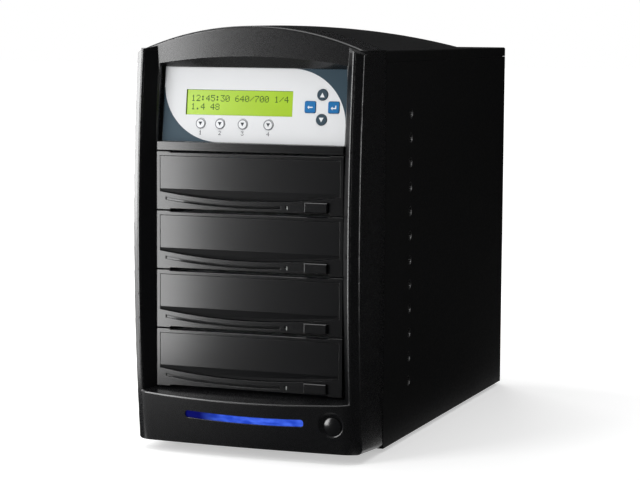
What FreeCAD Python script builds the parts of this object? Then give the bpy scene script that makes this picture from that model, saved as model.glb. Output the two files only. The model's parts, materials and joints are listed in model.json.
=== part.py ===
import FreeCAD, Part
import math
import os

V = FreeCAD.Vector
X, Y, Z = V(1, 0, 0), V(0, 1, 0), V(0, 0, 1)

# Millimetres. x runs to the right, y back from the faces of the drives, z up from the floor.
# The export moves everything so that the origin is the middle of the case on the floor.

# The case as a whole
overrun = 6.0
seat_gap = 0.3
fit_gap = 0.05
foot_height = 3.0
case_width = 177.0
case_depth = 370.0
sheet = 1.0
chin_height = 44.9
bay_pitch = 43.8
bay_count = 4
panel_bay_height = 65.6
shoulder_front = 9.0
shoulder_rear = 7.5
half = case_width / 2
case_bottom = foot_height
bays_bottom = case_bottom + chin_height
bays_top = bays_bottom + bay_pitch * bay_count
lid_line = bays_top + panel_bay_height

# The domed roof: an arch across the case that sinks towards the back
dome_rise = 26.1
dome_arch = 18.2
dome_radius = (half ** 2 + dome_arch ** 2) / (2 * dome_arch)
dome_sweep_radius = 3500.0
dome_crest_y = 55.0
dome_depth = 60.0
dome_top = lid_line + dome_rise

# The moulded front: plan of its face, and the bow of that face from top to bottom
bezel_set_in = 0.3
bezel_reach = 48.0
bezel_wall = 2.5
bezel_half = half - bezel_set_in
edge_set_in = 0.5
edge_round = 1.0
strip_run = 4.5
strip_angle = math.radians(41.6)
corner_radius = 14.0
crown_radius = 945.0
bow_radius = 1162.0
bow_front = 8.4
bow_height = 110.0
bow_z = bays_bottom + bow_height
bow_span = max(bow_z, dome_top - bow_z) + 2 * overrun
corner_round = 3.0
underside_rise = 4.9
underside_rise_back = 1.0
post_drop = 2.3
crest_round = 1.6

# The opening of the moulded front, flared towards the user
header_y = 6.0
header_chamfer = 5.7
post_width = 15.2
opening_half = half - post_width
flare_run = 8.2
flare_depth = 13.8
rim_round = 2.0
channel_back = 12.0
ledge_drop_middle = 6.6
ledge_drop_end = 3.8
ledge_start = 0.6
ledge_ahead = 0.9
ledge_round = 1.3
header_low_middle = 3.9
header_low_end = -2.0

# The chin: light slot and power button
button_inset = 19.2
button_x = bezel_half - button_inset
button_drop = 19.6
button_radius = 6.5
button_dome_share = 2.2
dish_radius = 9.4
dish_depth = 3.2
slot_inset = 42.6
slot_gap = 21.6
slot_left = slot_inset - bezel_half
slot_right = button_x - slot_gap
slot_height = 5.4
slot_round = 2.2
slot_drop = 18.5
slot_smile = 1.2
slot_tilt = 0.8
collar_wall = 1.6
collar_length = 6.0
power_travel = 2.5
board_y = 7.0
board_thick = 1.6

# The drives
drive_half = opening_half - seat_gap
drive_face_height = 43.1
drive_case_height = 41.3
drive_depth = 170.0
drive_face_thick = 4.5
drive_notch = 0.85
drive_notch_inset = 11.0
drive_notch_half = drive_half - drive_notch_inset
drive_edge = 0.6
drive_wall = 1.0
strip_top_end = 13.4
strip_top_middle = 8.1
tray_front_inset = 2.8
tray_front_half = drive_half - tray_front_inset
tray_front_top = 39.7
tray_front_thick = 4.0
tray_front_fold = 15.8
tray_front_undercut = 3.0
eject_inset = 20.2
eject_x = drive_half - eject_inset
eject_z = 5.8
eject_width = 17.6
eject_height = 7.2
eject_out = 2.4
eject_stem = 3.0
eject_reach = 8.0
eject_travel = 1.2
groove_inset = 7.0
groove_gap = 27.8
groove_left = groove_inset - drive_half
groove_right = eject_x - groove_gap
groove_height = 2.2
groove_depth = 1.2
groove_below = 4.2
pinhole_gap = 4.2
pinhole_x = groove_right + pinhole_gap
pinhole_z = 5.4
pinhole_radius = 0.9

# The disc tray and its deck
tray_inset = 5.7
tray_half = tray_front_half - tray_inset
tray_low = 17.0
tray_thick = 6.2
tray_clear = 20.0
tray_back = drive_depth - tray_clear
tray_rim = 3.7
disc_ahead = 5.0
disc_y = tray_back / 2 - disc_ahead
disc_well_radius = min(tray_half, disc_y - tray_front_thick) - tray_rim
small_disc_inset = 19.8
small_disc_radius = disc_well_radius - small_disc_inset
disc_well_depth = 2.2
small_well_depth = 1.2
tray_slot_half = 17.0
tray_slot_back = 62.0
rail_thick = 1.5
deck_low = 6.5
deck_thick = 1.5
turntable_radius = 15.0
turntable_low = 10.4
turntable_thick = 2.2
hub_cone_radius = 7.4
hub_cone_height = 3.0
spindle_radius = 1.5
spindle_post_radius = 6.0

# The cage of the drives and the plate behind the moulded front
cage_half = drive_half + seat_gap
cage_front = 14.0
cage_clear = 5.0
cage_back = drive_depth - cage_clear
cage_flange = 10.0
cage_top = 6.0
screw_radius = 1.5
screw_head_radius = 2.8
screw_head = 1.8
screw_inset = 11.5
screw_z = 10.0

# The control panel, drawn upright and then leaned back
lean = math.radians(7.25)
lean_y = 6.2
bar_height = 6.5
panel_inset = 1.8
panel_width = 2 * (opening_half - panel_inset)
panel_height = 55.0
overlay_thick = 0.5
frame_half = drive_half - drive_wall / 5
frame_wall = 2.5
frame_rim = 0.9
frame_depth = 40.0
frame_floor_clear = 18.0
frame_floor_back = drive_depth - frame_floor_clear
key_radius = 4.0
small_key_radius = 3.7
square_key = 8.2
square_key_round = 1.2
key_proud = 0.7
key_travel = 0.6
key_length = 4.6
key_flange = 1.0
pad_inset = 18.6
pad_x = panel_width / 2 - pad_inset
pad_z = 27.3
pad_reach = 9.0
lcd_left_margin = 17.7
lcd_right_margin = 41.3
lcd_left = lcd_left_margin - panel_width / 2
lcd_width = panel_width - lcd_left_margin - lcd_right_margin
lcd_z = 29.2
lcd_height = 18.6
lcd_sunk = 1.4
lcd_body_frame = 16.0
lcd_body_right = 5.0
lcd_body_height = 36.0
row_z = 13.7
row_shares = [0.149, 0.332, 0.545, 0.785]
display_board_w = 6.8

# The power supply, the fans and the back
psu_set_in = 13.5
psu_width = 2 * (half - psu_set_in)
psu_height = 86.0
psu_depth = 140.0
psu_lift = 2.0
fan_room = 6.0
fan_size = psu_height - fan_room
fan_thick = 25.0
fan_wall = 2.0
fan_bore = fan_size / 2 - fan_wall
fan_hub = fan_bore / 2
fan_blades = 7
blade_pitch = 45.0
fan_shaft = 2.0
fan_gap = 1.0
fan_screw_inset = 8.5
fan_screw_pitch = fan_size - fan_screw_inset
case_fan_x = 0.0
case_fan_z = 175.0
inlet_width = 28.0
inlet_height = 50.0
psu_slack = psu_width - fan_size - inlet_width
psu_fan_share = 0.2
psu_inlet_share = 0.45
psu_fan_x = psu_slack * psu_fan_share + fan_size / 2 - psu_width / 2
inlet_x = psu_width / 2 - psu_slack * psu_inlet_share - inlet_width / 2
inlet_flange = 2.0
inlet_depth = 20.0
inlet_hole_width = 24.5
inlet_hole_height = 16.5
inlet_pin = 1.0
pin_pitch = 7.4
inlet_z_share = 0.27
rocker_width = 13.0
rocker_height = 18.0
rocker_z_share = 0.76
rocker_tilt = 11.0
rocker_pin = 1.0
rocker_body = 5.0
vent_slot = 4.0
vent_bar = 2.6
thumb_radius = 5.0
thumb_head = 5.5
thumb_shank = 1.8
panel_fold = 13.0

# The sides
dimple_count = 12
dimple_y = 107.5
dimple_pitch = 18.6
dimple_top_drop = 39.3
dimple_radius = 4.0
dimple_depth = 1.2
lip_height = 8.0
foot_radius = 9.0
foot_narrow = 1.0
foot_inset_x = 20.0
foot_inset_front = 75.0
foot_inset_back = 25.0

# Boards and wiring
shelf_thick = 1.5
board_lift = 4.0
board_inset = 12.8
board_half = frame_half - board_inset
board_front = 34.0
ribbon_width = 8.0
ribbon_thick = 2.0
ribbon_x = 24.0
ribbon_step = 4.0
ribbon_bend = 6.0
plug_depth = 9.0
plug_height = 6.0
plug_width = 12.0
port_depth = 12.0
trunk_x = -38.0
trunk_radius = 4.0
trunk_bend = 16.0
trunk_z = 46.0


# Small helpers
def block(x0, x1, y0, y1, z0, z1):
    return Part.makeBox(x1 - x0, y1 - y0, z1 - z0, V(x0, y0, z0))


def rod(radius, length, start, along):
    return Part.makeCylinder(radius, length, start, along)


def arc(a, b, c):
    return Part.Arc(a, b, c).toShape()


def rounded(a, corner, b):
    """Arc from a to b that touches the lines from the corner to both, which are equally long."""
    middle = (a + b) * 0.5
    turn = (b - a).Length / (2 * (a - corner).Length)
    return arc(a, corner + (middle - corner) * (1 / (1 + turn)), b)


def prism(points, sweep):
    return Part.Face(Part.makePolygon(points + points[:1])).extrude(sweep)


def loop_prism(edges, sweep):
    return Part.Face(Part.Wire(edges)).extrude(sweep)


def joined(shapes):
    return shapes[0].fuse(shapes[1:]).removeSplitter()


def mirrored(shape):
    return shape.mirror(V(0, 0, 0), X)


def both_sides(shape):
    return [shape, mirrored(shape)]


def moved(shape, offset):
    copy = shape.copy()
    copy.translate(offset)
    return copy


def arc_band(x0, x1, low, sag, height, y, reach):
    """A band between two equal arcs that sag in the middle, swept back from y."""
    middle = (x0 + x1) / 2
    ends = [V(x0, y, low), V(x1, y, low), V(x1, y, low + height), V(x0, y, low + height)]
    edges = [arc(ends[0], V(middle, y, low - sag), ends[1]),
             Part.makeLine(ends[1], ends[2]),
             arc(ends[2], V(middle, y, low + height - sag), ends[3]),
             Part.makeLine(ends[3], ends[0])]
    return loop_prism(edges, V(0, reach, 0))


# The outer form of the case, under its domed roof
def dome(inset):
    """The arch across the case, turned about a far axis below it, so that it sinks towards the back."""
    radius = dome_radius - inset
    span = half + overrun
    sag = radius - math.sqrt(radius ** 2 - span ** 2)
    crest = dome_top - inset
    foot = crest - dome_depth
    left, right = V(-span, dome_crest_y, crest - sag), V(span, dome_crest_y, crest - sag)
    low_left, low_right = V(-span, dome_crest_y, foot), V(span, dome_crest_y, foot)
    edges = [arc(left, V(0, dome_crest_y, crest), right), Part.makeLine(right, low_right),
             Part.makeLine(low_right, low_left), Part.makeLine(low_left, left)]
    section = Part.Face(Part.Wire(edges))
    axis = V(0, dome_crest_y, dome_top - dome_sweep_radius)
    back = math.degrees((case_depth - dome_crest_y + 2 * overrun) / dome_sweep_radius)
    front = math.degrees((dome_crest_y - header_y + 2 * overrun) / dome_sweep_radius)
    section.rotate(axis, X, front)
    return section.revolve(axis, X, -(front + back))


def case_form(inset, side_inset=None):
    """Everything under the roof from the header back, its walls moved in by the insets."""
    width = half - (inset if side_inset is None else side_inset)
    front, back = header_y, case_depth
    low = case_bottom + inset
    outline = [V(-width, front, low), V(-width, back, low),
               V(-width, back, lid_line + shoulder_rear - inset),
               V(-width, front, lid_line + shoulder_front - inset)]
    body = prism(outline, V(2 * width, 0, 0))
    crown = dome(inset).common(block(-width, width, front, back, lid_line - dome_depth / 2, dome_top))
    return body.fuse(crown).removeSplitter()


# The moulded front
def bow_y(z):
    """How far back the outer front edge lies at a height."""
    return bow_radius - bow_front - math.sqrt(bow_radius ** 2 - (z - bow_z) ** 2)


def front_plan(inset):
    """Points and arcs of half the front's plan, from the side wall to the middle."""
    outward = V(math.cos(strip_angle), math.sin(strip_angle), 0)
    run = V(strip_run, strip_run * math.tan(strip_angle), 0)
    strip_end = V(bezel_half - inset - edge_set_in, -bow_front + inset, bow_z) - run
    edge = strip_end + outward * ((bezel_half - inset - strip_end.x) / outward.x)
    radius = corner_radius - inset
    centre = strip_end + V(-radius * math.sin(strip_angle), radius * math.cos(strip_angle), 0)
    blend = math.asin(centre.x / (crown_radius - radius))

    def on_corner(angle):
        return centre + V(radius * math.sin(angle), -radius * math.cos(angle), 0)

    corner_end = on_corner(blend)
    crown_y = corner_end.y + crown_radius * math.cos(blend) - crown_radius
    return {"side": edge + Y * edge_round, "edge": edge, "start": edge - outward * edge_round,
            "strip_end": strip_end, "corner_middle": on_corner((strip_angle + blend) / 2),
            "corner_end": corner_end, "crown": V(0, crown_y, bow_z), "centre": centre,
            "radius": radius, "crown_centre_y": crown_y + crown_radius}


def face_depth(x):
    """How far the front stands ahead of its outer edge, x to either side of the middle."""
    plan = front_plan(0)
    x = abs(x)
    if x >= plan["strip_end"].x:
        y = plan["strip_end"].y + (x - plan["strip_end"].x) * math.tan(strip_angle)
    elif x >= plan["corner_end"].x:
        y = plan["centre"].y - math.sqrt(plan["radius"] ** 2 - (x - plan["centre"].x) ** 2)
    else:
        y = plan["crown_centre_y"] - math.sqrt(crown_radius ** 2 - x ** 2)
    return -bow_front - y


def bowed(edges):
    """A plan at the height of the bow's peak, turned about the bow's axis into a solid."""
    face = Part.Face(Part.Wire(edges))
    axis = V(0, bow_radius - bow_front, bow_z)
    turn = math.degrees(math.asin(bow_span / (bow_radius - bezel_reach - 2 * bow_front)))
    face.rotate(axis, X, turn)
    return face.revolve(axis, X, -2 * turn)


def flipped(point):
    return V(-point.x, point.y, point.z)


def bowed_body(inset):
    plan = front_plan(inset)
    back = bezel_reach + 4 * overrun
    right_back, left_back = V(plan["side"].x, back, bow_z), V(-plan["side"].x, back, bow_z)
    side, edge, start, strip = plan["side"], plan["edge"], plan["start"], plan["strip_end"]
    end, middle = plan["corner_end"], plan["corner_middle"]
    return bowed([Part.makeLine(right_back, side), rounded(side, edge, start),
                  Part.makeLine(start, strip), arc(strip, middle, end),
                  arc(end, plan["crown"], flipped(end)),
                  arc(flipped(end), flipped(middle), flipped(strip)),
                  Part.makeLine(flipped(strip), flipped(start)),
                  rounded(flipped(start), flipped(edge), flipped(side)),
                  Part.makeLine(flipped(side), left_back), Part.makeLine(left_back, right_back)])


def flare_body(wall):
    """The opening's plan: a straight channel that flares out to the rim, grown by a wall."""
    rim_x = opening_half + flare_run
    rim_y = -bow_front - face_depth(rim_x)
    slope = flare_run / flare_depth
    back = bezel_reach + 4 * overrun
    ahead = rim_y - 4 * overrun
    behind, bend = V(opening_half + wall, back, bow_z), V(opening_half + wall, rim_y + flare_depth, bow_z)
    if wall:
        start = end = V(rim_x + wall + slope * 4 * overrun, ahead, bow_z)
        rim = []
    else:
        rim_edge = V(rim_x, rim_y, bow_z)
        start = rim_edge + V(-flare_run, flare_depth, 0).normalize() * rim_round
        out_x = rim_x + rim_round * math.cos(strip_angle)
        out = V(out_x, -bow_front - face_depth(out_x), bow_z)
        end = V(out_x, ahead, bow_z)
        rim = [rounded(start, rim_edge, out), rounded(flipped(out), flipped(rim_edge), flipped(start)),
               Part.makeLine(out, end), Part.makeLine(flipped(end), flipped(out))]
    lines = [(behind, bend), (bend, start), (end, flipped(end)), (flipped(start), flipped(bend)),
             (flipped(bend), flipped(behind)), (flipped(behind), behind)]
    return bowed(Part.__sortEdges__(rim + [Part.makeLine(a, b) for a, b in lines]))


def ledge_lip(x):
    """Height of the ledge over the chin at its front, lowest in the middle."""
    share = x / (opening_half + flare_run)
    return bays_bottom - ledge_drop_middle + (ledge_drop_middle - ledge_drop_end) * share ** 2


def ledge_lip_y():
    return chin_face_y(0, bays_bottom) - ledge_ahead


def opening_region(wall):
    """Space between the ledge over the chin and the header's arch, grown by a wall."""
    wide = half + overrun
    top = dome_top + overrun
    ledge = bays_bottom - ledge_start - wall
    end_z, middle_z = ledge_lip(wide) - wall, ledge_lip(0) - wall
    back, front = header_y, ledge_lip_y()
    back_wire = Part.makePolygon([V(-wide, back, ledge), V(wide, back, ledge), V(wide, back, top),
                                  V(-wide, back, top), V(-wide, back, ledge)])
    a, b = V(-wide, front, end_z), V(wide, front, end_z)
    c, d = V(wide, front, top), V(-wide, front, top)
    front_wire = Part.Wire([arc(a, V(0, front, middle_z), b), Part.makeLine(b, c),
                            Part.makeLine(c, d), Part.makeLine(d, a)])
    ahead = Part.makeLoft([front_wire, back_wire], True, True)
    further = Part.Face(front_wire).extrude(V(0, -4 * overrun, 0))
    arch_end = lid_line + header_low_end + wall
    arch_middle = lid_line + header_low_middle + wall
    step = panel_top() + wall
    rim_back = header_y + header_chamfer
    side = opening_half + wall
    e, f = V(side, header_y, arch_end), V(-side, header_y, arch_end)
    g, h = V(-side, header_y, ledge), V(side, header_y, ledge)
    arch = Part.Wire([Part.makeLine(g, h), Part.makeLine(h, e), arc(e, V(0, header_y, arch_middle), f),
                      Part.makeLine(f, g)])
    level = Part.makePolygon([V(-side, rim_back, ledge), V(side, rim_back, ledge), V(side, rim_back, step),
                              V(-side, rim_back, step), V(-side, rim_back, ledge)])
    under_header = Part.makeLoft([arch, level], True, True)
    behind = block(-side, side, rim_back, bezel_reach + overrun, ledge, step)
    return ahead.fuse([further, under_header, behind])


def post_outline(inset):
    """Front view of the moulded front under its arch."""
    width = bezel_half - inset
    low = case_bottom + inset
    radius = dome_radius - inset
    crest = dome_top - post_drop - inset
    shoulder = crest - radius + math.sqrt(radius ** 2 - width ** 2)
    y = -bezel_reach
    a, b = V(-width, y, low), V(width, y, low)
    c, d = V(width, y, shoulder), V(-width, y, shoulder)
    return [Part.makeLine(a, b), Part.makeLine(b, c), arc(c, V(0, y, crest), d), Part.makeLine(d, a)]


def trough(inset):
    """What the underside of the moulded front leaves: level ahead, then falling to the back."""
    width = bezel_half - inset
    low, high = case_bottom + underside_rise + inset, dome_top + 2 * overrun
    r = corner_round - inset / 2
    y = -bezel_reach
    edge_left, edge_right = V(-width, y, low), V(width, y, low)
    a, b = edge_left + X * r, edge_right - X * r
    c, f = edge_right + Z * r, edge_left + Z * r
    d, e = V(width, y, high), V(-width, y, high)
    edges = [Part.makeLine(a, b), rounded(b, edge_right, c), Part.makeLine(c, d), Part.makeLine(d, e),
             Part.makeLine(e, f), rounded(f, edge_left, a)]
    level = loop_prism(edges, V(0, bezel_reach - bow_front, 0))
    fall = V(0, bezel_reach + bow_front, underside_rise_back - underside_rise) * 1.5
    sloping = moved(Part.Face(Part.Wire(edges)), V(0, bezel_reach - bow_front, 0)).extrude(fall)
    return level.fuse(sloping)


def bezel_form(inset):
    """The moulded front's outer form, or its hollow: bowed face, arched top, raised underside."""
    posts = loop_prism(post_outline(inset), V(0, bezel_reach + header_y, 0))
    behind = case_form(inset, inset + bezel_set_in)
    lower = loop_prism(post_outline(inset), V(0, 2 * bezel_reach + overrun, 0))
    body = posts.fuse(behind.common(lower.fuse(behind.common(
        block(-half, half, header_y, bezel_reach + overrun, lid_line - dome_depth / 2, dome_top)))))
    reach = bezel_reach if inset == 0 else bezel_reach + overrun
    body = body.common(block(-half, half, -bezel_reach, reach, 0, dome_top))
    return body.common(bowed_body(inset)).common(trough(inset))


def slot_shape(clearance, y, reach):
    """The slot for the light bar, round at its ends, or the bar inside it."""
    low = bays_bottom - slot_drop - slot_height / 2 + slot_smile / 2 + clearance
    band = arc_band(slot_left + clearance, slot_right - clearance, low, slot_smile,
                    slot_height - 2 * clearance, y, reach)
    ends = [e for e in band.Edges if e.BoundBox.YLength > reach / 2]
    band = band.makeFillet(slot_round - clearance, ends)
    tilt = math.degrees(math.atan(slot_tilt / (slot_right - slot_left)))
    band.rotate(V((slot_left + slot_right) / 2, 0, low), Y, tilt)
    return band


def chin_face_y(x, z):
    return bow_y(z) - face_depth(x)


def crest_rounded(form):
    """The moulded front with its header's upper front edge rounded."""
    edges = [e for e in form.Edges if abs(e.BoundBox.Center.y - header_y) < seat_gap
             and e.BoundBox.YLength < seat_gap and e.BoundBox.ZMax > lid_line + dome_rise / 2
             and e.BoundBox.XLength < case_width / 2]
    return form.Solids[0].makeFillet(crest_round, edges)


def ledge_edges(body):
    """The edges along the front of the ledge over the chin, from rim to rim."""
    edges = []
    back = bays_bottom - ledge_start
    for edge in body.Edges:
        point = edge.valueAt((edge.FirstParameter + edge.LastParameter) / 2)
        ahead = (header_y - point.y) / (header_y - ledge_lip_y())
        height = back + (ledge_lip(point.x) - back) * ahead
        on_face = abs(point.y - chin_face_y(point.x, point.z)) < seat_gap
        if on_face and abs(point.z - height) < 2 * seat_gap and edge.Length > 2 * bezel_wall:
            edges.append(edge)
    return edges


def front_bezel():
    ahead = -bezel_reach
    outer = crest_rounded(bezel_form(0))
    skin = outer.cut(bezel_form(bezel_wall))
    channel = flare_body(bezel_wall).common(opening_region(bezel_wall))
    channel = channel.common(block(-half, half, ahead, channel_back, 0, dome_top))
    header = outer.common(block(-half, half, header_y, header_y + bezel_wall,
                                lid_line + header_low_end, dome_top + overrun))
    button_z = bays_bottom - button_drop
    face_y = chin_face_y(button_x, button_z)
    centre = V(button_x, face_y, button_z)
    hole = button_radius + seat_gap
    collar = rod(hole + collar_wall, collar_length + bezel_wall, centre + V(0, bezel_wall / 2, 0), Y)
    bosses = [rod(collar_wall * 2, board_y - chin_face_y(x, button_z) - bezel_wall / 2,
                  V(x, chin_face_y(x, button_z) + bezel_wall / 2, button_z), Y)
              for x in (slot_left - overrun, slot_right + overrun / 2)]
    body = joined([skin, channel.common(outer), header, collar.common(outer)]
                  + [boss.common(outer) for boss in bosses])
    body = body.cut(flare_body(0).common(opening_region(0)))
    body = body.Solids[0].makeFillet(ledge_round, ledge_edges(body))
    body = body.cut(slot_shape(0, ahead, 2 * bezel_reach))
    dish_ball = (dish_radius ** 2 + dish_depth ** 2) / (2 * dish_depth)
    body = body.cut(Part.makeSphere(dish_ball, centre - Y * (dish_ball - dish_depth)))
    return body.cut(rod(hole, 2 * bezel_reach, V(button_x, ahead, button_z), Y))


def light_bar():
    """A clear strip that fills the slot and reaches back to the lamps on the board."""
    middle = bays_bottom - slot_drop
    face_y = chin_face_y((slot_left + slot_right) / 2, middle)
    body = slot_shape(fit_gap, face_y - overrun, board_y - face_y + overrun - seat_gap)
    shell = bezel_form(bezel_wall / 3)
    return body.common(shell.fuse(block(-half, half, 0, board_y, 0, bays_bottom)))


def power_button():
    z = bays_bottom - button_drop
    face_y = chin_face_y(button_x, z)
    body = rod(button_radius, collar_length, V(button_x, face_y, z), Y)
    dome_r = button_radius * button_dome_share
    sag = dome_r - math.sqrt(dome_r ** 2 - button_radius ** 2)
    ball = Part.makeSphere(dome_r, V(button_x, face_y + dome_r - sag / 2, z))
    body = body.fuse(rod(button_radius, overrun, V(button_x, face_y - sag, z), Y)).common(
        ball.fuse(rod(button_radius, collar_length, V(button_x, face_y + dish_depth, z), Y)))
    stem_length = board_y - face_y - collar_length - power_travel - 2 * seat_gap - board_thick
    stem = rod(button_radius / 3, stem_length, V(button_x, face_y + collar_length, z), Y)
    return body.fuse(stem).removeSplitter()


def switch_board():
    """Board behind the chin with the lamps of the light bar and the power switch."""
    z = bays_bottom - button_drop
    left = slot_left - 2 * overrun
    right = button_x + button_radius
    board = block(left, right, board_y, board_y + board_thick, z - button_radius, z + button_radius)
    switch = block(button_x - button_radius / 2, button_x + button_radius / 2,
                   board_y - board_thick, board_y, z - button_radius / 2, z + button_radius / 2)
    return joined([board, switch])


# One drive, drawn with the bottom of its bay at z = 0
def strip_z(x):
    """Height of the fixed strip's upper edge, a shallow arc below the tray's front."""
    sag = strip_top_end - strip_top_middle
    radius = (tray_front_half ** 2 + sag ** 2) / (2 * sag)
    return strip_top_middle + radius - math.sqrt(radius ** 2 - x ** 2)


def strip_arc(x0, x1, below, y):
    middle = (x0 + x1) / 2
    return arc(*[V(x, y, strip_z(x) - below) for x in (x0, middle, x1)])


def tray_front_shape(gap, y, reach):
    """The tray's front, or with no gap the opening that it fills."""
    side = tray_front_half + seat_gap - gap
    top = tray_front_top + seat_gap - gap
    low = strip_arc(-side, side, -gap, y)
    a, b = low.Vertexes[0].Point, low.Vertexes[1].Point
    edges = [low, Part.makeLine(b, V(side, y, top)), Part.makeLine(V(side, y, top), V(-side, y, top)),
             Part.makeLine(V(-side, y, top), a)]
    return loop_prism(edges, V(0, reach, 0))


def groove_shape():
    y = -overrun
    top = strip_arc(groove_left, groove_right, groove_below - groove_height / 2, y)
    low = strip_arc(groove_left, groove_right, groove_below + groove_height / 2, y)
    ends = [Part.makeLine(top.Vertexes[i].Point, low.Vertexes[i].Point) for i in (0, 1)]
    return loop_prism(Part.__sortEdges__([top, ends[1], low, ends[0]]), V(0, overrun + groove_depth, 0))


def eject_shape(gap, y, reach):
    w = eject_width / 2 + seat_gap - gap
    h = eject_height / 2 + seat_gap - gap
    return block(eject_x - w, eject_x + w, y, y + reach, eject_z - h, eject_z + h)


def drive_bezel():
    low = (bay_pitch - drive_face_height) / 2
    high = low + drive_face_height
    n, h, step = drive_notch_half, drive_half, drive_notch
    points = [(-h, low), (-n - step, low), (-n, low + step), (n, low + step), (n + step, low),
              (h, low), (h, high), (n + step, high), (n, high - step), (-n, high - step),
              (-n - step, high), (-h, high)]
    face = prism([V(x, 0, z) for x, z in points], V(0, drive_face_thick, 0))
    rim = [e for e in face.Edges if e.BoundBox.YMax < seat_gap and e.BoundBox.ZMin > low + 2 * step]
    face = face.makeChamfer(drive_edge, rim)
    through = 2 * overrun + drive_face_thick
    hole = rod(pinhole_radius, through, V(pinhole_x, -overrun, pinhole_z), Y)
    return face.cut([tray_front_shape(0, -overrun, through), groove_shape(), hole,
                     eject_shape(0, -overrun, through)])


def drive_case():
    """Folded steel box, open in front, with the plastic deck and its rails."""
    low = (bay_pitch - drive_case_height) / 2
    high = low + drive_case_height
    h, w = drive_half, drive_wall
    shell = block(-h, h, drive_face_thick, drive_depth, low, high)
    shell = shell.cut(block(-h + w, h - w, drive_face_thick - overrun, drive_depth - w, low + w, high - w))
    deck_front = eject_reach + eject_travel + 2 * seat_gap
    deck = block(-h + w, h - w, deck_front, drive_depth - w, deck_low, deck_low + deck_thick)
    rail_y = drive_face_thick + seat_gap
    top = tray_low + tray_thick
    ledge = block(tray_half - 2 * rail_thick, h - w, rail_y, tray_back,
                  tray_low - seat_gap - rail_thick, tray_low - seat_gap)
    guide = block(tray_half + seat_gap, tray_half + seat_gap + rail_thick, rail_y, tray_back,
                  tray_low - seat_gap, top)
    post = rod(spindle_post_radius, turntable_low - seat_gap - deck_low, V(0, disc_y, deck_low), Z)
    socket = rod(spindle_radius + fit_gap, turntable_low, V(0, disc_y, deck_low - seat_gap), Z)
    body = joined([shell, deck, post] + both_sides(ledge) + both_sides(guide)).cut(socket)
    side = rod(screw_radius + fit_gap, case_width, V(-half, 0, 0), X)
    return body.cut([moved(side, V(0, y, z)) for y, z in screw_places()])


def screw_places():
    """Where the cage's screws enter a drive, seen from the side."""
    first = bezel_reach + screw_inset
    return [(first, screw_z + (bay_pitch - drive_case_height) / 2),
            (cage_back - 3 * overrun, screw_z + (bay_pitch - drive_case_height) / 2)]


def tray():
    """The disc tray: wells for both disc sizes and the slot for the spindle and the lens."""
    top = tray_low + tray_thick
    body = block(-tray_half, tray_half, tray_front_thick, tray_back, tray_low, top)
    large = rod(disc_well_radius, overrun, V(0, disc_y, top - disc_well_depth), Z)
    small = rod(small_disc_radius, overrun, V(0, disc_y, top - disc_well_depth - small_well_depth), Z)
    slot = block(-tray_slot_half, tray_slot_half, disc_y, disc_y + tray_slot_back, 0, 2 * top)
    hub = rod(tray_slot_half, 2 * top, V(0, disc_y, 0), Z)
    return body.cut([large, small, slot, hub])


def tray_front():
    """The tray's front panel, its lower part folded back to the strip below it."""
    body = tray_front_shape(seat_gap, 0, tray_front_thick)
    fold = [V(-half, -overrun, tray_front_fold), V(-half, 0, tray_front_fold),
            V(-half, tray_front_undercut, strip_top_middle), V(-half, tray_front_undercut, 0),
            V(-half, -overrun, 0)]
    return body.cut(prism(fold, V(case_width, 0, 0)))


def eject_button():
    cap = eject_shape(seat_gap, -eject_out, eject_out + eject_stem)
    rim = [e for e in cap.Edges if e.BoundBox.YMax < -eject_out / 2]
    cap = cap.makeChamfer(drive_edge, rim)
    w, h = eject_width / 4, eject_height / 4
    stem = block(eject_x - w, eject_x + w, eject_stem, eject_reach, eject_z - h, eject_z + h)
    return cap.fuse(stem).removeSplitter()


def turntable():
    disc = rod(turntable_radius, turntable_thick, V(0, disc_y, turntable_low), Z)
    top = turntable_low + turntable_thick
    cone = Part.makeCone(hub_cone_radius, hub_cone_radius / 2, hub_cone_height, V(0, disc_y, top), Z)
    shaft = rod(spindle_radius, turntable_low - deck_low, V(0, disc_y, deck_low), Z)
    return disc.fuse([cone, shaft]).removeSplitter()


def bay_z(number):
    """Bottom of a drive's bay; drive 1 is at the top."""
    return bays_bottom + bay_pitch * (bay_count - number)


# The sheet steel of the case
def base_pan():
    top = case_bottom + sheet
    side = half - sheet - fit_gap
    back = case_depth - 2 * sheet
    pan = block(-side, side, bezel_reach, back, case_bottom, top)
    fold = block(side - sheet, side, bezel_reach, back, case_bottom, top + panel_fold)
    front = block(-side + sheet, side - sheet, bezel_reach, bezel_reach + sheet, case_bottom,
                  top + panel_fold)
    return joined([pan, front] + both_sides(fold))


def fan_vent(x, z, y):
    """Slots across a round field, one above the other, for a fan's air."""
    pitch = vent_slot + vent_bar
    rows = int(fan_bore / pitch)
    slots = []
    for row in range(-rows, rows + 1):
        height = row * pitch
        reach = math.sqrt(fan_bore ** 2 - (abs(height) + vent_slot / 2) ** 2) if row else fan_bore
        for x0, x1 in ((-reach, -vent_bar / 2), (vent_bar / 2, reach)):
            slots.append(block(x + x0, x + x1, y - overrun, y + overrun,
                               z + height - vent_slot / 2, z + height + vent_slot / 2))
    return slots


def fan_screws(x, z):
    p = fan_screw_pitch / 2
    return [(x + i * p, z + j * p) for i in (-1, 1) for j in (-1, 1)]


def psu_z():
    return case_bottom + sheet + psu_lift


def psu_screw_places():
    inset = screw_head_radius + sheet
    low, high = psu_z() + inset, psu_z() + psu_height - inset
    side = psu_width / 2 - inset
    return [(-side, low), (-side, high), (side, low), (side, high)]


def thumbscrew_places():
    low = case_bottom + 2 * panel_fold
    high = lid_line - 2 * panel_fold
    side = half - sheet - panel_fold / 2
    lid = (half - 3 * panel_fold, lid_line)
    return [(side, low), (side, high), (-side, low), (-side, high), lid, (-lid[0], lid[1])]


def screw_holes(places, y, radius):
    return [rod(radius, 2 * overrun, V(x, y - overrun, z), Y) for x, z in places]


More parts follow.
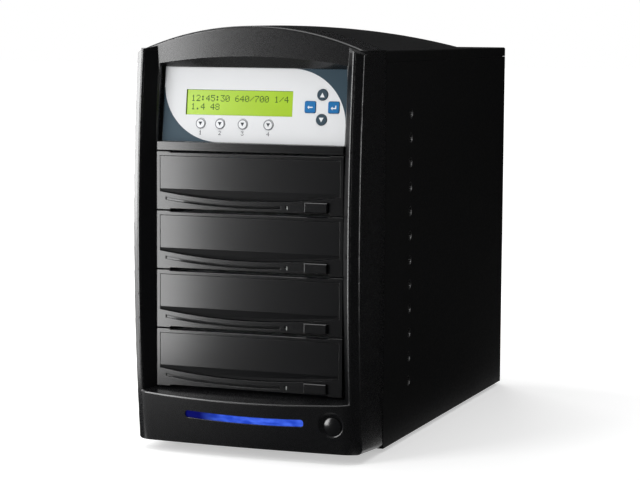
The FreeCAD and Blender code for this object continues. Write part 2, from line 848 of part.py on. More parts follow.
def rear_panel():
    """Back of the case: a window for the power supply and a vent with its fan behind."""
    front, back = case_depth - 2 * sheet, case_depth - sheet
    side = half - 2 * sheet - 2 * fit_gap
    low = case_bottom + sheet
    plate = case_form(sheet + fit_gap).common(block(-side, side, front, back, low, dome_top))
    fold = block(side - sheet, side, front - panel_fold, front, low, lid_line - panel_fold)
    body = joined([plate] + both_sides(fold))
    margin = 2 * (screw_head_radius + sheet)
    window = block(-psu_width / 2 + margin, psu_width / 2 - margin, front - overrun, back + overrun,
                   psu_z() + margin / 2, psu_z() + psu_height - margin / 2)
    cuts = [window] + fan_vent(case_fan_x, case_fan_z, front)
    cuts += screw_holes(psu_screw_places() + fan_screws(case_fan_x, case_fan_z), back,
                        screw_radius + fit_gap)
    cuts += screw_holes(thumbscrew_places(), back, thumb_shank + fit_gap)
    return body.cut(cuts)


def front_plate():
    """Steel plate that closes the case behind the moulded front, open for drives and panel."""
    back, front = bezel_reach, bezel_reach - sheet
    plate = bezel_form(bezel_wall + seat_gap).common(block(-half, half, front, back, 0, dome_top))
    side = cage_half + sheet + seat_gap
    window = block(-side, side, front - overrun, back + overrun,
                   bays_bottom - seat_gap, lid_line - panel_fold / 2)
    return plate.cut(window)


def dimple(side, z):
    """A round dent pressed into a side panel: what is added inside and cut outside."""
    sphere = (dimple_radius ** 2 + dimple_depth ** 2) / (2 * dimple_depth)
    centre = V(side * (half + sphere - dimple_depth), dimple_y, z)
    return Part.makeSphere(sphere + sheet, centre), Part.makeSphere(sphere, centre)


def side_panel(side):
    """Side sheet with a column of dents, a lip under the lid and a fold over the back."""
    inner, outer = half - sheet, half
    top = lid_line - seat_gap
    front = bezel_reach + seat_gap

    def slab(x0, x1, y0, y1, z0, z1):
        return block(x0, x1, y0, y1, z0, z1) if side > 0 else block(-x1, -x0, y0, y1, z0, z1)

    sheet_part = slab(inner, outer, front, case_depth, case_bottom, top)
    lip = slab(inner - sheet, inner, front + lip_height, case_depth - 2 * lip_height,
               top - 2 * lip_height, top + lip_height / 2)
    fold = slab(inner - panel_fold, inner, case_depth - sheet, case_depth, case_bottom, top)
    body = joined([sheet_part, lip, fold])
    near = slab(inner - dimple_radius, inner + sheet / 2, 0, case_depth, 0, lid_line)
    for index in range(dimple_count):
        bump, dent = dimple(side, lid_line - dimple_top_drop - index * dimple_pitch)
        body = body.fuse(bump.common(near)).cut(dent)
    return body.cut(screw_holes(thumbscrew_places(), case_depth - sheet, thumb_shank + fit_gap))


def top_cover():
    """The domed lid with its side flanges and the fold that screws to the back."""
    front = bezel_reach + seat_gap
    zone = block(-half, half, front, case_depth, lid_line, dome_top)
    skin = case_form(0).common(zone).cut(case_form(sheet))
    fold_half = half - 2 * panel_fold
    fold = block(-fold_half, fold_half, case_depth - sheet, case_depth, lid_line - panel_fold / 2,
                 lid_line + shoulder_rear)
    body = skin.fuse(fold.common(case_form(0))).removeSplitter()
    edges = [e for e in body.Edges if e.BoundBox.YLength > case_depth / 2
             and abs(abs(e.BoundBox.XMin) - half) < seat_gap and e.BoundBox.ZMin > lid_line + sheet]
    body = body.makeFillet(1.5 * sheet, edges)
    return body.cut(screw_holes(thumbscrew_places(), case_depth - sheet, thumb_shank + fit_gap))


def cage_side():
    """Right wall of the cage: holds all drives, folded out to stand on the pan."""
    low = case_bottom + sheet
    top = bays_top + cage_top
    inner, outer = cage_half, cage_half + sheet
    behind_pan = bezel_reach + sheet + seat_gap
    wall = block(inner, outer, behind_pan, cage_back, low, top)
    nose = block(inner, outer, cage_front, behind_pan, bays_bottom, top)
    foot = block(outer, outer + cage_flange, behind_pan, cage_back, low, low + sheet)
    front = block(outer, outer + cage_flange, bezel_reach, bezel_reach + sheet, low + 2 * panel_fold, top)
    body = joined([wall, nose, foot, front])
    hole = rod(screw_radius + fit_gap, 2 * overrun, V(inner - overrun, 0, 0), X)
    holes = [moved(hole, V(0, y, bay_z(n) + z)) for n in drive_numbers() for y, z in screw_places()]
    y0, y1 = [y for y, z in screw_places()]
    margin = 2 * overrun
    windows = [block(inner - overrun, outer + overrun, y0 + margin, y1 - margin,
                     bay_z(n) + margin, bay_z(n) + bay_pitch - margin) for n in drive_numbers()]
    return body.cut(holes + windows)


def drive_numbers():
    return range(1, bay_count + 1)


def feet():
    low_y, high_y = foot_inset_front, case_depth - foot_inset_back
    x = half - foot_inset_x
    return [Part.makeCone(foot_radius - foot_narrow, foot_radius, foot_height, V(sx * x, y, 0), Z)
            for sx in (-1, 1) for y in (low_y, high_y)]


# Fasteners
def screw(start, along, head_radius, head, shank, length):
    """A head outside its seat and a shank that runs on through it."""
    return rod(head_radius, head, start - along * head, along).fuse(
        rod(shank, length, start, along)).removeSplitter()


def thumbscrews():
    back = -1 * Y
    return [screw(V(x, case_depth, z), back, thumb_radius, thumb_head, thumb_shank, 3 * sheet)
            for x, z in thumbscrew_places()]


def pan_head_screws():
    screws = []
    for number in drive_numbers():
        for y, z in screw_places():
            for side in (-1, 1):
                start = V(side * (cage_half + sheet), y, bay_z(number) + z)
                screws.append(screw(start, V(-side, 0, 0), screw_head_radius, screw_head,
                                    screw_radius, sheet + seat_gap + drive_wall))
    seats = [(x, case_depth - sheet, z) for x, z in psu_screw_places() + fan_screws(case_fan_x, case_fan_z)]
    seats += [(x, case_depth - 2 * sheet, z) for x, z in fan_screws(psu_fan_x, psu_inlet_z())]
    for x, y, z in seats:
        screws.append(screw(V(x, y, z), -1 * Y, screw_head_radius, screw_head / 2, screw_radius, 2 * sheet))
    return screws


# The control panel, drawn upright with x across, z up the panel and y into it
def panel_top():
    return bays_top + bar_height + panel_height * math.cos(lean)


def leaned(shape):
    copy = shape.copy()
    copy.rotate(V(0, 0, 0), X, -math.degrees(lean))
    copy.translate(V(0, lean_y, bays_top + bar_height))
    return copy


def key_places():
    """Name, place and form of each key on the panel."""
    places = {"key_up": (pad_x, pad_z + pad_reach, "round"), "key_down": (pad_x, pad_z - pad_reach, "round"),
              "key_escape": (pad_x - pad_reach, pad_z, "square"),
              "key_enter": (pad_x + pad_reach, pad_z, "square")}
    for index, share in enumerate(row_shares):
        places["key_function_%d" % (index + 1)] = (lcd_left + share * lcd_width, row_z, "small")
    return places


def key_prism(form, x, z, grow, y, reach):
    if form == "square":
        s = square_key / 2 + grow
        body = block(x - s, x + s, y, y + reach, z - s, z + s)
        return body.makeFillet(square_key_round, [e for e in body.Edges if e.BoundBox.YLength > reach / 2])
    radius = key_radius if form == "round" else small_key_radius
    return rod(radius + grow, reach, V(x, y, z), Y)


def key(form, x, z):
    cap = key_prism(form, x, z, 0, -key_proud, key_proud + key_length)
    flange = key_prism(form, x, z, key_flange, overlay_thick + frame_wall + seat_gap, key_flange)
    return leaned(cap.fuse(flange).removeSplitter())


def lcd_block(grow, y, reach):
    h = lcd_height / 2 + grow
    return block(lcd_left - grow, lcd_left + lcd_width + grow, y, y + reach, lcd_z - h, lcd_z + h)


def panel_holes(grow):
    far = 4 * overrun
    holes = [key_prism(form, x, z, grow, -overrun, far) for x, z, form in key_places().values()]
    return holes + [lcd_block(0, -overrun, far)]


def control_overlay():
    sheet_part = block(-panel_width / 2, panel_width / 2, 0, overlay_thick, 0, panel_height)
    return leaned(sheet_part.cut(panel_holes(seat_gap)))


def controller_frame():
    """Moulded frame of the control panel, with a bar below it and a shelf for the board."""
    wide = frame_half
    wall = block(-wide, wide, 0, overlay_thick + frame_wall, -frame_rim, panel_height + frame_rim)
    recess = block(-panel_width / 2, panel_width / 2, -overrun, overlay_thick, -overrun, panel_height)
    front = leaned(wall.cut([recess] + panel_holes(seat_gap)))
    low = bays_top + seat_gap
    top = bays_top + bar_height - seat_gap / 2
    bar = block(-wide, wide, 0, lean_y + frame_wall, low, top)
    floor = block(-wide, wide, 0, frame_floor_back, low, low + shelf_thick)
    high = panel_top()
    cheek_y = lean_y + panel_height * math.sin(lean)
    cheek = prism([V(wide - frame_wall / 2, lean_y + frame_wall, low),
                   V(wide - frame_wall / 2, frame_depth, low),
                   V(wide - frame_wall / 2, frame_depth, low + panel_height / 2),
                   V(wide - frame_wall / 2, cheek_y + frame_wall, high),
                   V(wide - frame_wall / 2, lean_y + frame_wall, top)], V(frame_wall / 2, 0, 0))
    posts = [rod(collar_wall * 2, board_lift, V(x, y, low + shelf_thick), Z)
             for x in (-board_half + overrun, board_half - overrun)
             for y in (board_front + overrun, frame_floor_back - 2 * overrun)]
    return joined([front, bar, floor] + both_sides(cheek) + posts)


def display_board():
    """Board behind the panel with the display and a switch under each key."""
    side = panel_width / 2 - 2 * frame_wall
    board = block(-side, side, display_board_w, display_board_w + board_thick, frame_wall,
                  panel_height - frame_wall)
    left = max(lcd_left - lcd_body_frame, -side)
    body = block(left, lcd_left + lcd_width + lcd_body_right,
                 overlay_thick + frame_wall + seat_gap, display_board_w,
                 row_z + small_key_radius + key_flange + seat_gap, lcd_z + lcd_body_height / 2)
    glass = lcd_block(-seat_gap, lcd_sunk, display_board_w - lcd_sunk)
    switches = []
    start = key_length + key_travel + 2 * seat_gap
    s = small_key_radius * 2 / 3
    for x, z, _ in key_places().values():
        switches.append(block(x - s, x + s, start, display_board_w, z - s, z + s))
    return leaned(joined([board, body, glass] + switches))


def controller_board():
    """The copying controller: a board with its processor, chips and the drives' ports."""
    low = bays_top + seat_gap + shelf_thick + board_lift
    top = low + board_thick
    board = block(-board_half, board_half, board_front, frame_floor_back, low, top)
    chip = board_half / 4
    memory_y = board_front + 4 * chip
    processor = block(-chip, chip, board_front + chip, board_front + 3 * chip, top, top + board_lift)
    memory = [block(x, x + chip, memory_y, memory_y + chip, top, top + board_thick)
              for x in (-board_half / 2, board_half / 4)]
    port = block(ribbon_x - overrun / 2, ribbon_x + ribbon_width + overrun / 2,
                 frame_floor_back - port_depth, frame_floor_back, top, top + bay_count * ribbon_step)
    return joined([board, processor, port] + memory)


# The power supply and the fans
def fan_frame(x, z, back):
    """A square fan housing with four struts that carry the motor's bearing."""
    s = fan_size / 2
    front = back - fan_thick
    body = block(x - s, x + s, front, back, z - s, z + s)
    body = body.cut(rod(fan_bore, 2 * fan_thick, V(x, front - overrun, z), Y))
    strut = 2 * fan_gap
    arms = [block(x - fan_bore, x + fan_bore, front, front + strut, z - strut, z + strut),
            block(x - strut, x + strut, front, front + strut, z - fan_bore, z + fan_bore)]
    plate = rod(fan_hub, strut, V(x, front, z), Y)
    tube = rod(2 * fan_shaft, fan_thick / 2, V(x, front, z), Y)
    bore = rod(fan_shaft + fit_gap, fan_thick, V(x, front - overrun, z), Y)
    holes = screw_holes(fan_screws(x, z), back, screw_radius + fit_gap)
    return joined([body] + arms + [plate, tube]).cut([bore] + holes)


def fan_rotor(x, z, back):
    """Hub cup with pitched blades, its shaft in the bearing of the frame."""
    front = back - fan_thick + 2 * fan_gap + seat_gap
    depth = fan_thick - 2 * fan_gap - 2 * seat_gap - fan_gap
    cup = rod(fan_hub, depth, V(x, front, z), Y).cut(
        rod(fan_hub - sheet, depth - 2 * sheet, V(x, front - fit_gap, z), Y))
    shaft_start = back - fan_thick
    shaft = rod(fan_shaft, front + depth - shaft_start, V(x, shaft_start, z), Y)
    ring = rod(fan_bore - fan_gap, depth, V(x, front, z), Y).cut(
        rod(fan_hub - sheet / 2, depth, V(x, front, z), Y))
    blade = block(fan_hub - sheet, fan_bore, -sheet / 2, sheet / 2, -depth, depth)
    blade.rotate(V(0, 0, 0), X, blade_pitch)
    blade.translate(V(x, front + depth / 2, z))
    blades = []
    for index in range(fan_blades):
        copy = blade.copy()
        copy.rotate(V(x, 0, z), Y, 360 * index / fan_blades)
        blades.append(copy.common(ring))
    return joined([cup, shaft] + blades)


def psu_inlet_z():
    return psu_z() + psu_height / 2


def psu_case():
    """Steel box of the power supply with its own fan vent and the hole of the inlet."""
    back = case_depth - 2 * sheet
    front = back - psu_depth
    w = psu_width / 2
    low, high = psu_z(), psu_z() + psu_height
    body = block(-w, w, front, back, low, high)
    hollow = block(-w + sheet, w - sheet, front + sheet, back - sheet, low + sheet, high - sheet)
    z = psu_inlet_z()
    gap = seat_gap
    inlet = block(inlet_x - inlet_width / 2 - gap, inlet_x + inlet_width / 2 + gap, back - 2 * sheet,
                  back + overrun, z - inlet_height / 2 - gap, z + inlet_height / 2 + gap)
    cuts = [hollow, inlet] + fan_vent(psu_fan_x, z, back)
    cuts += screw_holes(psu_screw_places() + fan_screws(psu_fan_x, z), back, screw_radius + fit_gap)
    legs = [block(x - overrun, x + overrun, y - overrun, y + overrun, low - psu_lift, low)
            for x in (-w + 2 * overrun, w - 2 * overrun) for y in (front + 2 * overrun, back - 2 * overrun)]
    exit_hole = rod(trunk_radius + fit_gap, 2 * overrun, V(trunk_x, front - overrun, trunk_z), Y)
    return joined([body.cut(cuts + [exit_hole])] + legs)


def inlet_centres():
    low = psu_inlet_z() - inlet_height / 2
    return low + inlet_height * inlet_z_share, low + inlet_height * rocker_z_share


def mains_inlet():
    """Moulding with the mains socket and its three pins, and the well of the switch."""
    back = case_depth - 2 * sheet
    w, h = inlet_width / 2, inlet_height / 2
    z = psu_inlet_z()
    socket_z, rocker_z = inlet_centres()
    flange = block(inlet_x - w, inlet_x + w, back - inlet_depth, back + inlet_flange, z - h, z + h)
    u, v = inlet_hole_width / 2, inlet_hole_height / 2
    corner = v / 2
    points = [(-u, -v), (u, -v), (u, v - corner), (u - corner, v), (-u + corner, v), (-u, v - corner)]
    floor = back - inlet_depth + 2 * inlet_flange
    outline = [V(inlet_x + px, floor, socket_z + pz) for px, pz in points]
    socket = prism(outline, V(0, inlet_depth + overrun, 0))
    pins = []
    for px, pz in ((-pin_pitch, -v / 4), (pin_pitch, -v / 4), (0, v / 4)):
        pins.append(block(inlet_x + px - inlet_pin, inlet_x + px + inlet_pin, floor, back - inlet_flange,
                          socket_z + pz - 2 * inlet_pin, socket_z + pz + 2 * inlet_pin))
    rw, rh = rocker_width / 2 + seat_gap, rocker_height / 2 + 2 * seat_gap
    well = block(inlet_x - rw, inlet_x + rw, back - 2 * rocker_body, back + overrun,
                 rocker_z - rh, rocker_z + rh)
    reach = rw + inlet_flange
    axle = rod(rocker_pin + fit_gap, 2 * reach, V(inlet_x - reach, back, rocker_z), X)
    return joined([flange.cut([socket, well, axle])] + pins)


def rocker_switch():
    """The mains rocker, tilted about its pins with the upper end in."""
    back = case_depth - 2 * sheet
    z = inlet_centres()[1]
    w, h = rocker_width / 2, rocker_height / 2
    face = inlet_flange + sheet / 2
    tip = face + h * math.tan(math.radians(rocker_tilt / 2))
    points = [V(-w, -rocker_body / 2, -h), V(-w, tip, -h), V(-w, face, 0), V(-w, tip, h),
              V(-w, -rocker_body / 2, h), V(-w, -rocker_body, 0)]
    body = prism(points, V(2 * w, 0, 0))
    pin = rod(rocker_pin, 2 * w + 2 * inlet_flange, V(-w - inlet_flange, 0, 0), X)
    body = body.fuse(pin).removeSplitter()
    body.rotate(V(0, 0, 0), X, rocker_tilt)
    body.translate(V(inlet_x, back, z))
    return body


# Wiring
def data_ribbon(number):
    """A flat lead from the back of a drive, up behind the stack and forward to its port."""
    x0, x1 = ribbon_x, ribbon_x + ribbon_width
    half_thick = ribbon_thick / 2
    start_y = drive_depth + fit_gap + plug_depth
    low = bay_z(number) + bay_pitch / 2
    run_y = start_y + ribbon_bend + ribbon_step * number
    board_top = bays_top + seat_gap + shelf_thick + board_lift + board_thick
    high = board_top + ribbon_step * (number - 0.5)
    end_y = frame_floor_back + fit_gap
    r = ribbon_bend

    def bend(centre_y, centre_z, angle0, angle1, radius):
        middle = (angle0 + angle1) / 2
        return arc(*[V(x0, centre_y + radius * math.cos(a), centre_z + radius * math.sin(a))
                     for a in (angle0, middle, angle1)])

    quarter = math.pi / 2
    edges = []
    for side in (-half_thick, half_thick):
        outer = r + side
        first = bend(run_y - r, low + r, -quarter, 0, outer)
        second = bend(run_y - r, high - r, 0, quarter, outer)
        a = V(x0, start_y, low - side)
        b = V(x0, end_y, high + side)
        edges.append([Part.makeLine(a, V(x0, run_y - r, low - side)), first,
                      Part.makeLine(V(x0, run_y + side, low + r), V(x0, run_y + side, high - r)),
                      second, Part.makeLine(V(x0, run_y - r, high + side), b)])
    inner, outside = edges
    caps = [Part.makeLine(V(x0, start_y, low + half_thick), V(x0, start_y, low - half_thick)),
            Part.makeLine(V(x0, end_y, high - half_thick), V(x0, end_y, high + half_thick))]
    ribbon = Part.Face(Part.Wire(Part.__sortEdges__(inner + outside + caps))).extrude(V(x1 - x0, 0, 0))
    plug = block(x0 - fit_gap, x1 + fit_gap, drive_depth + fit_gap, start_y,
                 low - plug_height / 2, low + plug_height / 2)
    return ribbon.fuse(plug).removeSplitter()


def power_harness():
    """One trunk from the power supply, up behind the drives with a plug for each."""
    start_y = case_depth - psu_depth
    run_y = drive_depth + fit_gap + plug_depth + trunk_radius
    top = bay_z(1) + bay_pitch / 2 + plug_height / 2
    r = trunk_bend
    near = r * (1 - math.sqrt(0.5))
    path = Part.Wire([Part.makeLine(V(trunk_x, start_y, trunk_z), V(trunk_x, run_y + r, trunk_z)),
                      arc(V(trunk_x, run_y + r, trunk_z), V(trunk_x, run_y + near, trunk_z + near),
                          V(trunk_x, run_y, trunk_z + r)),
                      Part.makeLine(V(trunk_x, run_y, trunk_z + r), V(trunk_x, run_y, top))])
    circle = Part.Wire(Part.makeCircle(trunk_radius, V(trunk_x, start_y, trunk_z), Y))
    trunk = path.makePipeShell([circle], True, False)
    plugs = []
    for number in drive_numbers():
        z = bay_z(number) + bay_pitch / 2
        plugs.append(block(trunk_x - plug_width / 2, trunk_x + plug_width / 2, drive_depth + fit_gap,
                           run_y, z - plug_height / 2, z + plug_height / 2))
    return joined([trunk] + plugs)


# All pieces by name
def all_pieces():
    fan_back = case_depth - 2 * sheet
    psu_fan_back = fan_back - sheet
    pieces = {
        "base_pan": base_pan(), "rear_panel": rear_panel(), "front_plate": front_plate(),
        "left_side_panel": side_panel(-1), "right_side_panel": side_panel(1),
        "top_cover": top_cover(), "front_bezel": front_bezel(),
        "cage_left": mirrored(cage_side()), "cage_right": cage_side(),
        "rubber_feet": Part.makeCompound(feet()), "thumbscrews": Part.makeCompound(thumbscrews()),
        "pan_head_screws": Part.makeCompound(pan_head_screws()),
        "psu_case": psu_case(), "psu_fan_frame": fan_frame(psu_fan_x, psu_inlet_z(), psu_fan_back),
        "psu_fan_rotor": fan_rotor(psu_fan_x, psu_inlet_z(), psu_fan_back),
        "mains_inlet": mains_inlet(), "rocker_switch": rocker_switch(),
        "case_fan_frame": fan_frame(case_fan_x, case_fan_z, fan_back),
        "case_fan_rotor": fan_rotor(case_fan_x, case_fan_z, fan_back),
        "controller_frame": controller_frame(), "control_overlay": control_overlay(),
        "display_board": display_board(), "controller_board": controller_board(),
        "light_bar": light_bar(), "switch_board": switch_board(), "power_button": power_button(),
        "power_harness": power_harness(),
        "data_cables": Part.makeCompound([data_ribbon(n) for n in drive_numbers()]),
    }
    for name, (x, z, form) in key_places().items():
        pieces[name] = key(form, x, z)
    drive = {"bezel": drive_bezel(), "case": drive_case(), "tray": tray(), "tray_front": tray_front(),
             "eject_button": eject_button(), "turntable": turntable()}
    for number in drive_numbers():
        for name, shape in drive.items():
            pieces["drive_%d_%s" % (number, name)] = moved(shape, V(0, 0, bay_z(number)))
    return pieces


def main():
    os.makedirs("parts", exist_ok=True)
    pieces = all_pieces()
    front = min(shape.optimalBoundingBox(False).YMin for shape in pieces.values())
    back = max(shape.optimalBoundingBox(False).YMax for shape in pieces.values())
    centre = V(0, -(front + back) / 2, 0)
    for name, shape in pieces.items():
        moved(shape, centre).exportStep("parts/%s.step" % name)
    print("pieces", len(pieces), "front %.3f back %.3f shift %.3f" % (front, back, centre.y))


main()
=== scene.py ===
import json
import math

import bpy
from mathutils import Matrix, Vector

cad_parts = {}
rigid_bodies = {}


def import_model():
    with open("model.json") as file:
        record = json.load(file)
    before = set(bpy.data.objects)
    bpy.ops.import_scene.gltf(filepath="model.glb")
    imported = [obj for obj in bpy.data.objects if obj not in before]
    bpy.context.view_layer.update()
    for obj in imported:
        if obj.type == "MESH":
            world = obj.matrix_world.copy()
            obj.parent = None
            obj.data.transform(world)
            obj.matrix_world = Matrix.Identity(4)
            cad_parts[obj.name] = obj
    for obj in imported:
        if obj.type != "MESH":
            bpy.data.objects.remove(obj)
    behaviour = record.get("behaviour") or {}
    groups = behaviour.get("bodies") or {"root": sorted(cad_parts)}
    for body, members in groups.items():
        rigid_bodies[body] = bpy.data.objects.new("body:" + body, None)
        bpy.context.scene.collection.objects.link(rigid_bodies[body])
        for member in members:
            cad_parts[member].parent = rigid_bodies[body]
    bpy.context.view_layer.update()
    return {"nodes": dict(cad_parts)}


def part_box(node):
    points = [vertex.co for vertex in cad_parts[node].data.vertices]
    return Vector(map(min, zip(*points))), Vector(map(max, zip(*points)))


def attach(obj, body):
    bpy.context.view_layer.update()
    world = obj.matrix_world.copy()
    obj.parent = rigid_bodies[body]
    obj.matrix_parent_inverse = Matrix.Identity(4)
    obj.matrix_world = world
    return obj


# What Blender starts with goes first, so that only the part is measured.
for start_object in list(bpy.data.objects):
    bpy.data.objects.remove(start_object)

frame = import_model()
nodes = frame["nodes"]
scene = bpy.context.scene

MM = 0.001
DRIVES = (1, 2, 3, 4)
FUNCTIONS = (1, 2, 3, 4)
HANDS = (("left", -1), ("right", 1))

# Where the drives' faces are, and the foot of the lowest drive.
FACE_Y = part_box("drive_1_bezel")[0].y
BAY_BOTTOM = 47.9 * MM


# The camera, at the photograph's place and angle.
CAMERA_FROM_FACE = Vector((0.58003, -1.41033, 0.27195))
AZIMUTH, ELEVATION, ROLL = (math.radians(angle) for angle in (20.40, 5.99, 0.37))
FOCAL_LENGTH, SENSOR_WIDTH = 118.58, 36


def add_camera():
    back = Vector((math.sin(AZIMUTH) * math.cos(ELEVATION), -math.cos(AZIMUTH) * math.cos(ELEVATION),
                   math.sin(ELEVATION)))
    level = (-back).cross(Vector((0, 0, 1))).normalized()
    upright = level.cross(-back)
    right = math.cos(ROLL) * level + math.sin(ROLL) * upright
    up = math.cos(ROLL) * upright - math.sin(ROLL) * level
    data = bpy.data.cameras.new("camera")
    data.lens = FOCAL_LENGTH
    data.sensor_width = SENSOR_WIDTH
    camera = bpy.data.objects.new("camera", data)
    place = Vector((0, FACE_Y, BAY_BOTTOM)) + CAMERA_FROM_FACE
    camera.matrix_world = Matrix.Translation(place) @ Matrix((right, up, back)).transposed().to_4x4()
    scene.collection.objects.link(camera)
    scene.camera = camera


# Shader helpers: each adds nodes to one material, and most return a socket.
BEVEL_SAMPLES = 6
RUB_STARTS, RUB_FULL = 0.995, 0.88
NOISE_LOW, NOISE_HIGH = 0.3, 0.7


def lighter(colour, share):
    return tuple(min(1.0, channel * share) for channel in colour)


class Shader:
    def __init__(self, name):
        self.material = bpy.data.materials.new(name)
        self.material.use_nodes = True
        self.tree = self.material.node_tree
        self.surface = self.tree.nodes["Principled BSDF"]
        self.place = self.tree.nodes.new("ShaderNodeTexCoord").outputs["Object"]

    def link(self, source, target):
        self.tree.links.new(source, target)

    def along_x(self):
        split = self.tree.nodes.new("ShaderNodeSeparateXYZ")
        self.link(self.place, split.inputs["Vector"])
        return split.outputs["X"]

    def noise(self, size, detail=2.0, stretch=(1, 1, 1)):
        """Noise whose grains are about size metres across, from 0 to 1."""
        mapping = self.tree.nodes.new("ShaderNodeMapping")
        mapping.inputs["Scale"].default_value = stretch
        self.link(self.place, mapping.inputs["Vector"])
        node = self.tree.nodes.new("ShaderNodeTexNoise")
        node.inputs["Scale"].default_value = 1 / size
        node.inputs["Detail"].default_value = detail
        self.link(mapping.outputs["Vector"], node.inputs["Vector"])
        return node.outputs["Fac"]

    def cells(self, size):
        """A grey for each of a pattern's cells, which are about size metres across."""
        node = self.tree.nodes.new("ShaderNodeTexVoronoi")
        node.inputs["Scale"].default_value = 1 / size
        self.link(self.place, node.inputs["Vector"])
        grey = self.tree.nodes.new("ShaderNodeRGBToBW")
        self.link(node.outputs["Color"], grey.inputs["Color"])
        return grey.outputs["Val"]

    def span(self, source, low, high, start=0.0, end=1.0):
        """Maps start..end of the source to low..high."""
        node = self.tree.nodes.new("ShaderNodeMapRange")
        for name, value in (("From Min", start), ("From Max", end), ("To Min", low), ("To Max", high)):
            node.inputs[name].default_value = value
        self.link(source, node.inputs["Value"])
        return node.outputs["Result"]

    def roughness(self, noise, rough, swing):
        """Rough and its swing to both sides, over the range where most of a noise's values lie."""
        return self.span(noise, rough - swing, rough + swing, NOISE_LOW, NOISE_HIGH)

    def blend(self, factor, first, second):
        """A colour between two, each a colour or a socket."""
        node = self.tree.nodes.new("ShaderNodeMix")
        node.data_type = "RGBA"
        self.link(factor, node.inputs["Factor"])
        for name, value in (("A", first), ("B", second)):
            socket = [s for s in node.inputs if s.name == name and s.type == "RGBA"][0]
            if isinstance(value, tuple):
                socket.default_value = (*value, 1)
            else:
                self.link(value, socket)
        return [s for s in node.outputs if s.type == "RGBA"][0]

    def shades(self, factor, colour, darkest, lightest):
        """The colour, from darkest to lightest times itself."""
        return self.blend(factor, lighter(colour, darkest), lighter(colour, lightest))

    def rubbed(self, base, colour, radius, rub):
        """The base, with the colour rub times as light where the surface turns within the radius."""
        rounded = self.round_off(radius)
        plain = self.tree.nodes.new("ShaderNodeNewGeometry").outputs["Normal"]
        dot = self.tree.nodes.new("ShaderNodeVectorMath")
        dot.operation = "DOT_PRODUCT"
        self.link(rounded, dot.inputs[0])
        self.link(plain, dot.inputs[1])
        turn = self.span(dot.outputs["Value"], 0.0, 1.0, RUB_STARTS, RUB_FULL)
        return self.blend(turn, base, lighter(colour, rub))

    def round_off(self, radius):
        bevel = self.tree.nodes.new("ShaderNodeBevel")
        bevel.samples = BEVEL_SAMPLES
        bevel.inputs["Radius"].default_value = radius
        return bevel.outputs["Normal"]

    def relief(self, pattern, height, normal=None):
        bump = self.tree.nodes.new("ShaderNodeBump")
        bump.inputs["Distance"].default_value = height
        bump.inputs["Strength"].default_value = 1.0
        self.link(pattern, bump.inputs["Height"])
        if normal:
            self.link(normal, bump.inputs["Normal"])
        return bump.outputs["Normal"]

    def put(self, **sockets):
        """Sets or links the surface shader's sockets, named with underscores for spaces."""
        for name, value in sockets.items():
            target = self.surface.inputs[name.replace("_", " ")]
            if isinstance(value, bpy.types.NodeSocket):
                self.link(value, target)
            elif isinstance(value, tuple):
                target.default_value = (*value, 1)
            else:
                target.default_value = value


# The kinds of material.
def moulded(name, colour, rough, grain, height, edge=0.4 * MM, level=0.5, rub=1.6):
    """Injection-moulded plastic: fine spark-eroded grain, slight shade changes and rubbed edges."""
    shader = Shader(name)
    base = shader.shades(shader.noise(30 * MM, detail=3), colour, darkest=0.85, lightest=1.15)
    fine = shader.noise(grain, detail=4)
    shader.put(Base_Color=shader.rubbed(base, colour, edge, rub),
               Roughness=shader.roughness(fine, rough, swing=0.04),
               Normal=shader.relief(fine, height, shader.round_off(edge)), Specular_IOR_Level=level)
    return shader.material


def painted(name, colour, rough, level, edge=0.5 * MM, rub=2.2):
    """Powder coat on steel sheet: orange-peel relief with a fine sparkle of shade."""
    shader = Shader(name)
    peel = shader.noise(1.6 * MM)
    grit = shader.noise(0.5 * MM, detail=3)
    base = shader.shades(grit, colour, darkest=0.7, lightest=1.3)
    normal = shader.relief(peel, 0.05 * MM, shader.round_off(edge))
    shader.put(Base_Color=shader.rubbed(base, colour, edge, rub),
               Roughness=shader.roughness(peel, rough, swing=0.06),
               Normal=shader.relief(grit, 0.02 * MM, normal), Specular_IOR_Level=level)
    return shader.material


def galvanised(name, colour):
    """Zinc-plated sheet: faint spangle in its colour and gloss, with fine rolling lines."""
    shader = Shader(name)
    spangle = shader.cells(7 * MM)
    lines = shader.noise(0.7 * MM, stretch=(1, 1, 0.06))
    shader.put(Base_Color=shader.shades(spangle, colour, darkest=0.82, lightest=1.1), Metallic=1.0,
               Roughness=shader.span(spangle, low=0.34, high=0.5),
               Normal=shader.relief(lines, 0.01 * MM, shader.round_off(0.3 * MM)))
    return shader.material


def film(name, colour):
    """Printed polycarbonate overlay with a velvet face."""
    shader = Shader(name)
    velvet = shader.noise(0.25 * MM, detail=3)
    shader.put(Base_Color=shader.shades(shader.noise(20 * MM), colour, darkest=0.985, lightest=1.015),
               Roughness=shader.roughness(velvet, 0.47, swing=0.05),
               Normal=shader.relief(velvet, 0.006 * MM, shader.round_off(0.15 * MM)),
               Specular_IOR_Level=0.08)
    return shader.material


def circuit(name, mask, track, repeat=6.25 * MM, gap=0.02):
    """Green solder mask over copper tracks."""
    shader = Shader(name)
    bricks = shader.tree.nodes.new("ShaderNodeTexBrick")
    bricks.inputs["Scale"].default_value = 1 / repeat
    bricks.inputs["Mortar Size"].default_value = gap
    shader.link(shader.place, bricks.inputs["Vector"])
    tracks = bricks.outputs["Fac"]
    shader.put(Base_Color=shader.blend(tracks, mask, track),
               Roughness=shader.span(shader.noise(2 * MM), low=0.25, high=0.4),
               Normal=shader.relief(tracks, 0.04 * MM), Coat_Weight=0.3)
    return shader.material


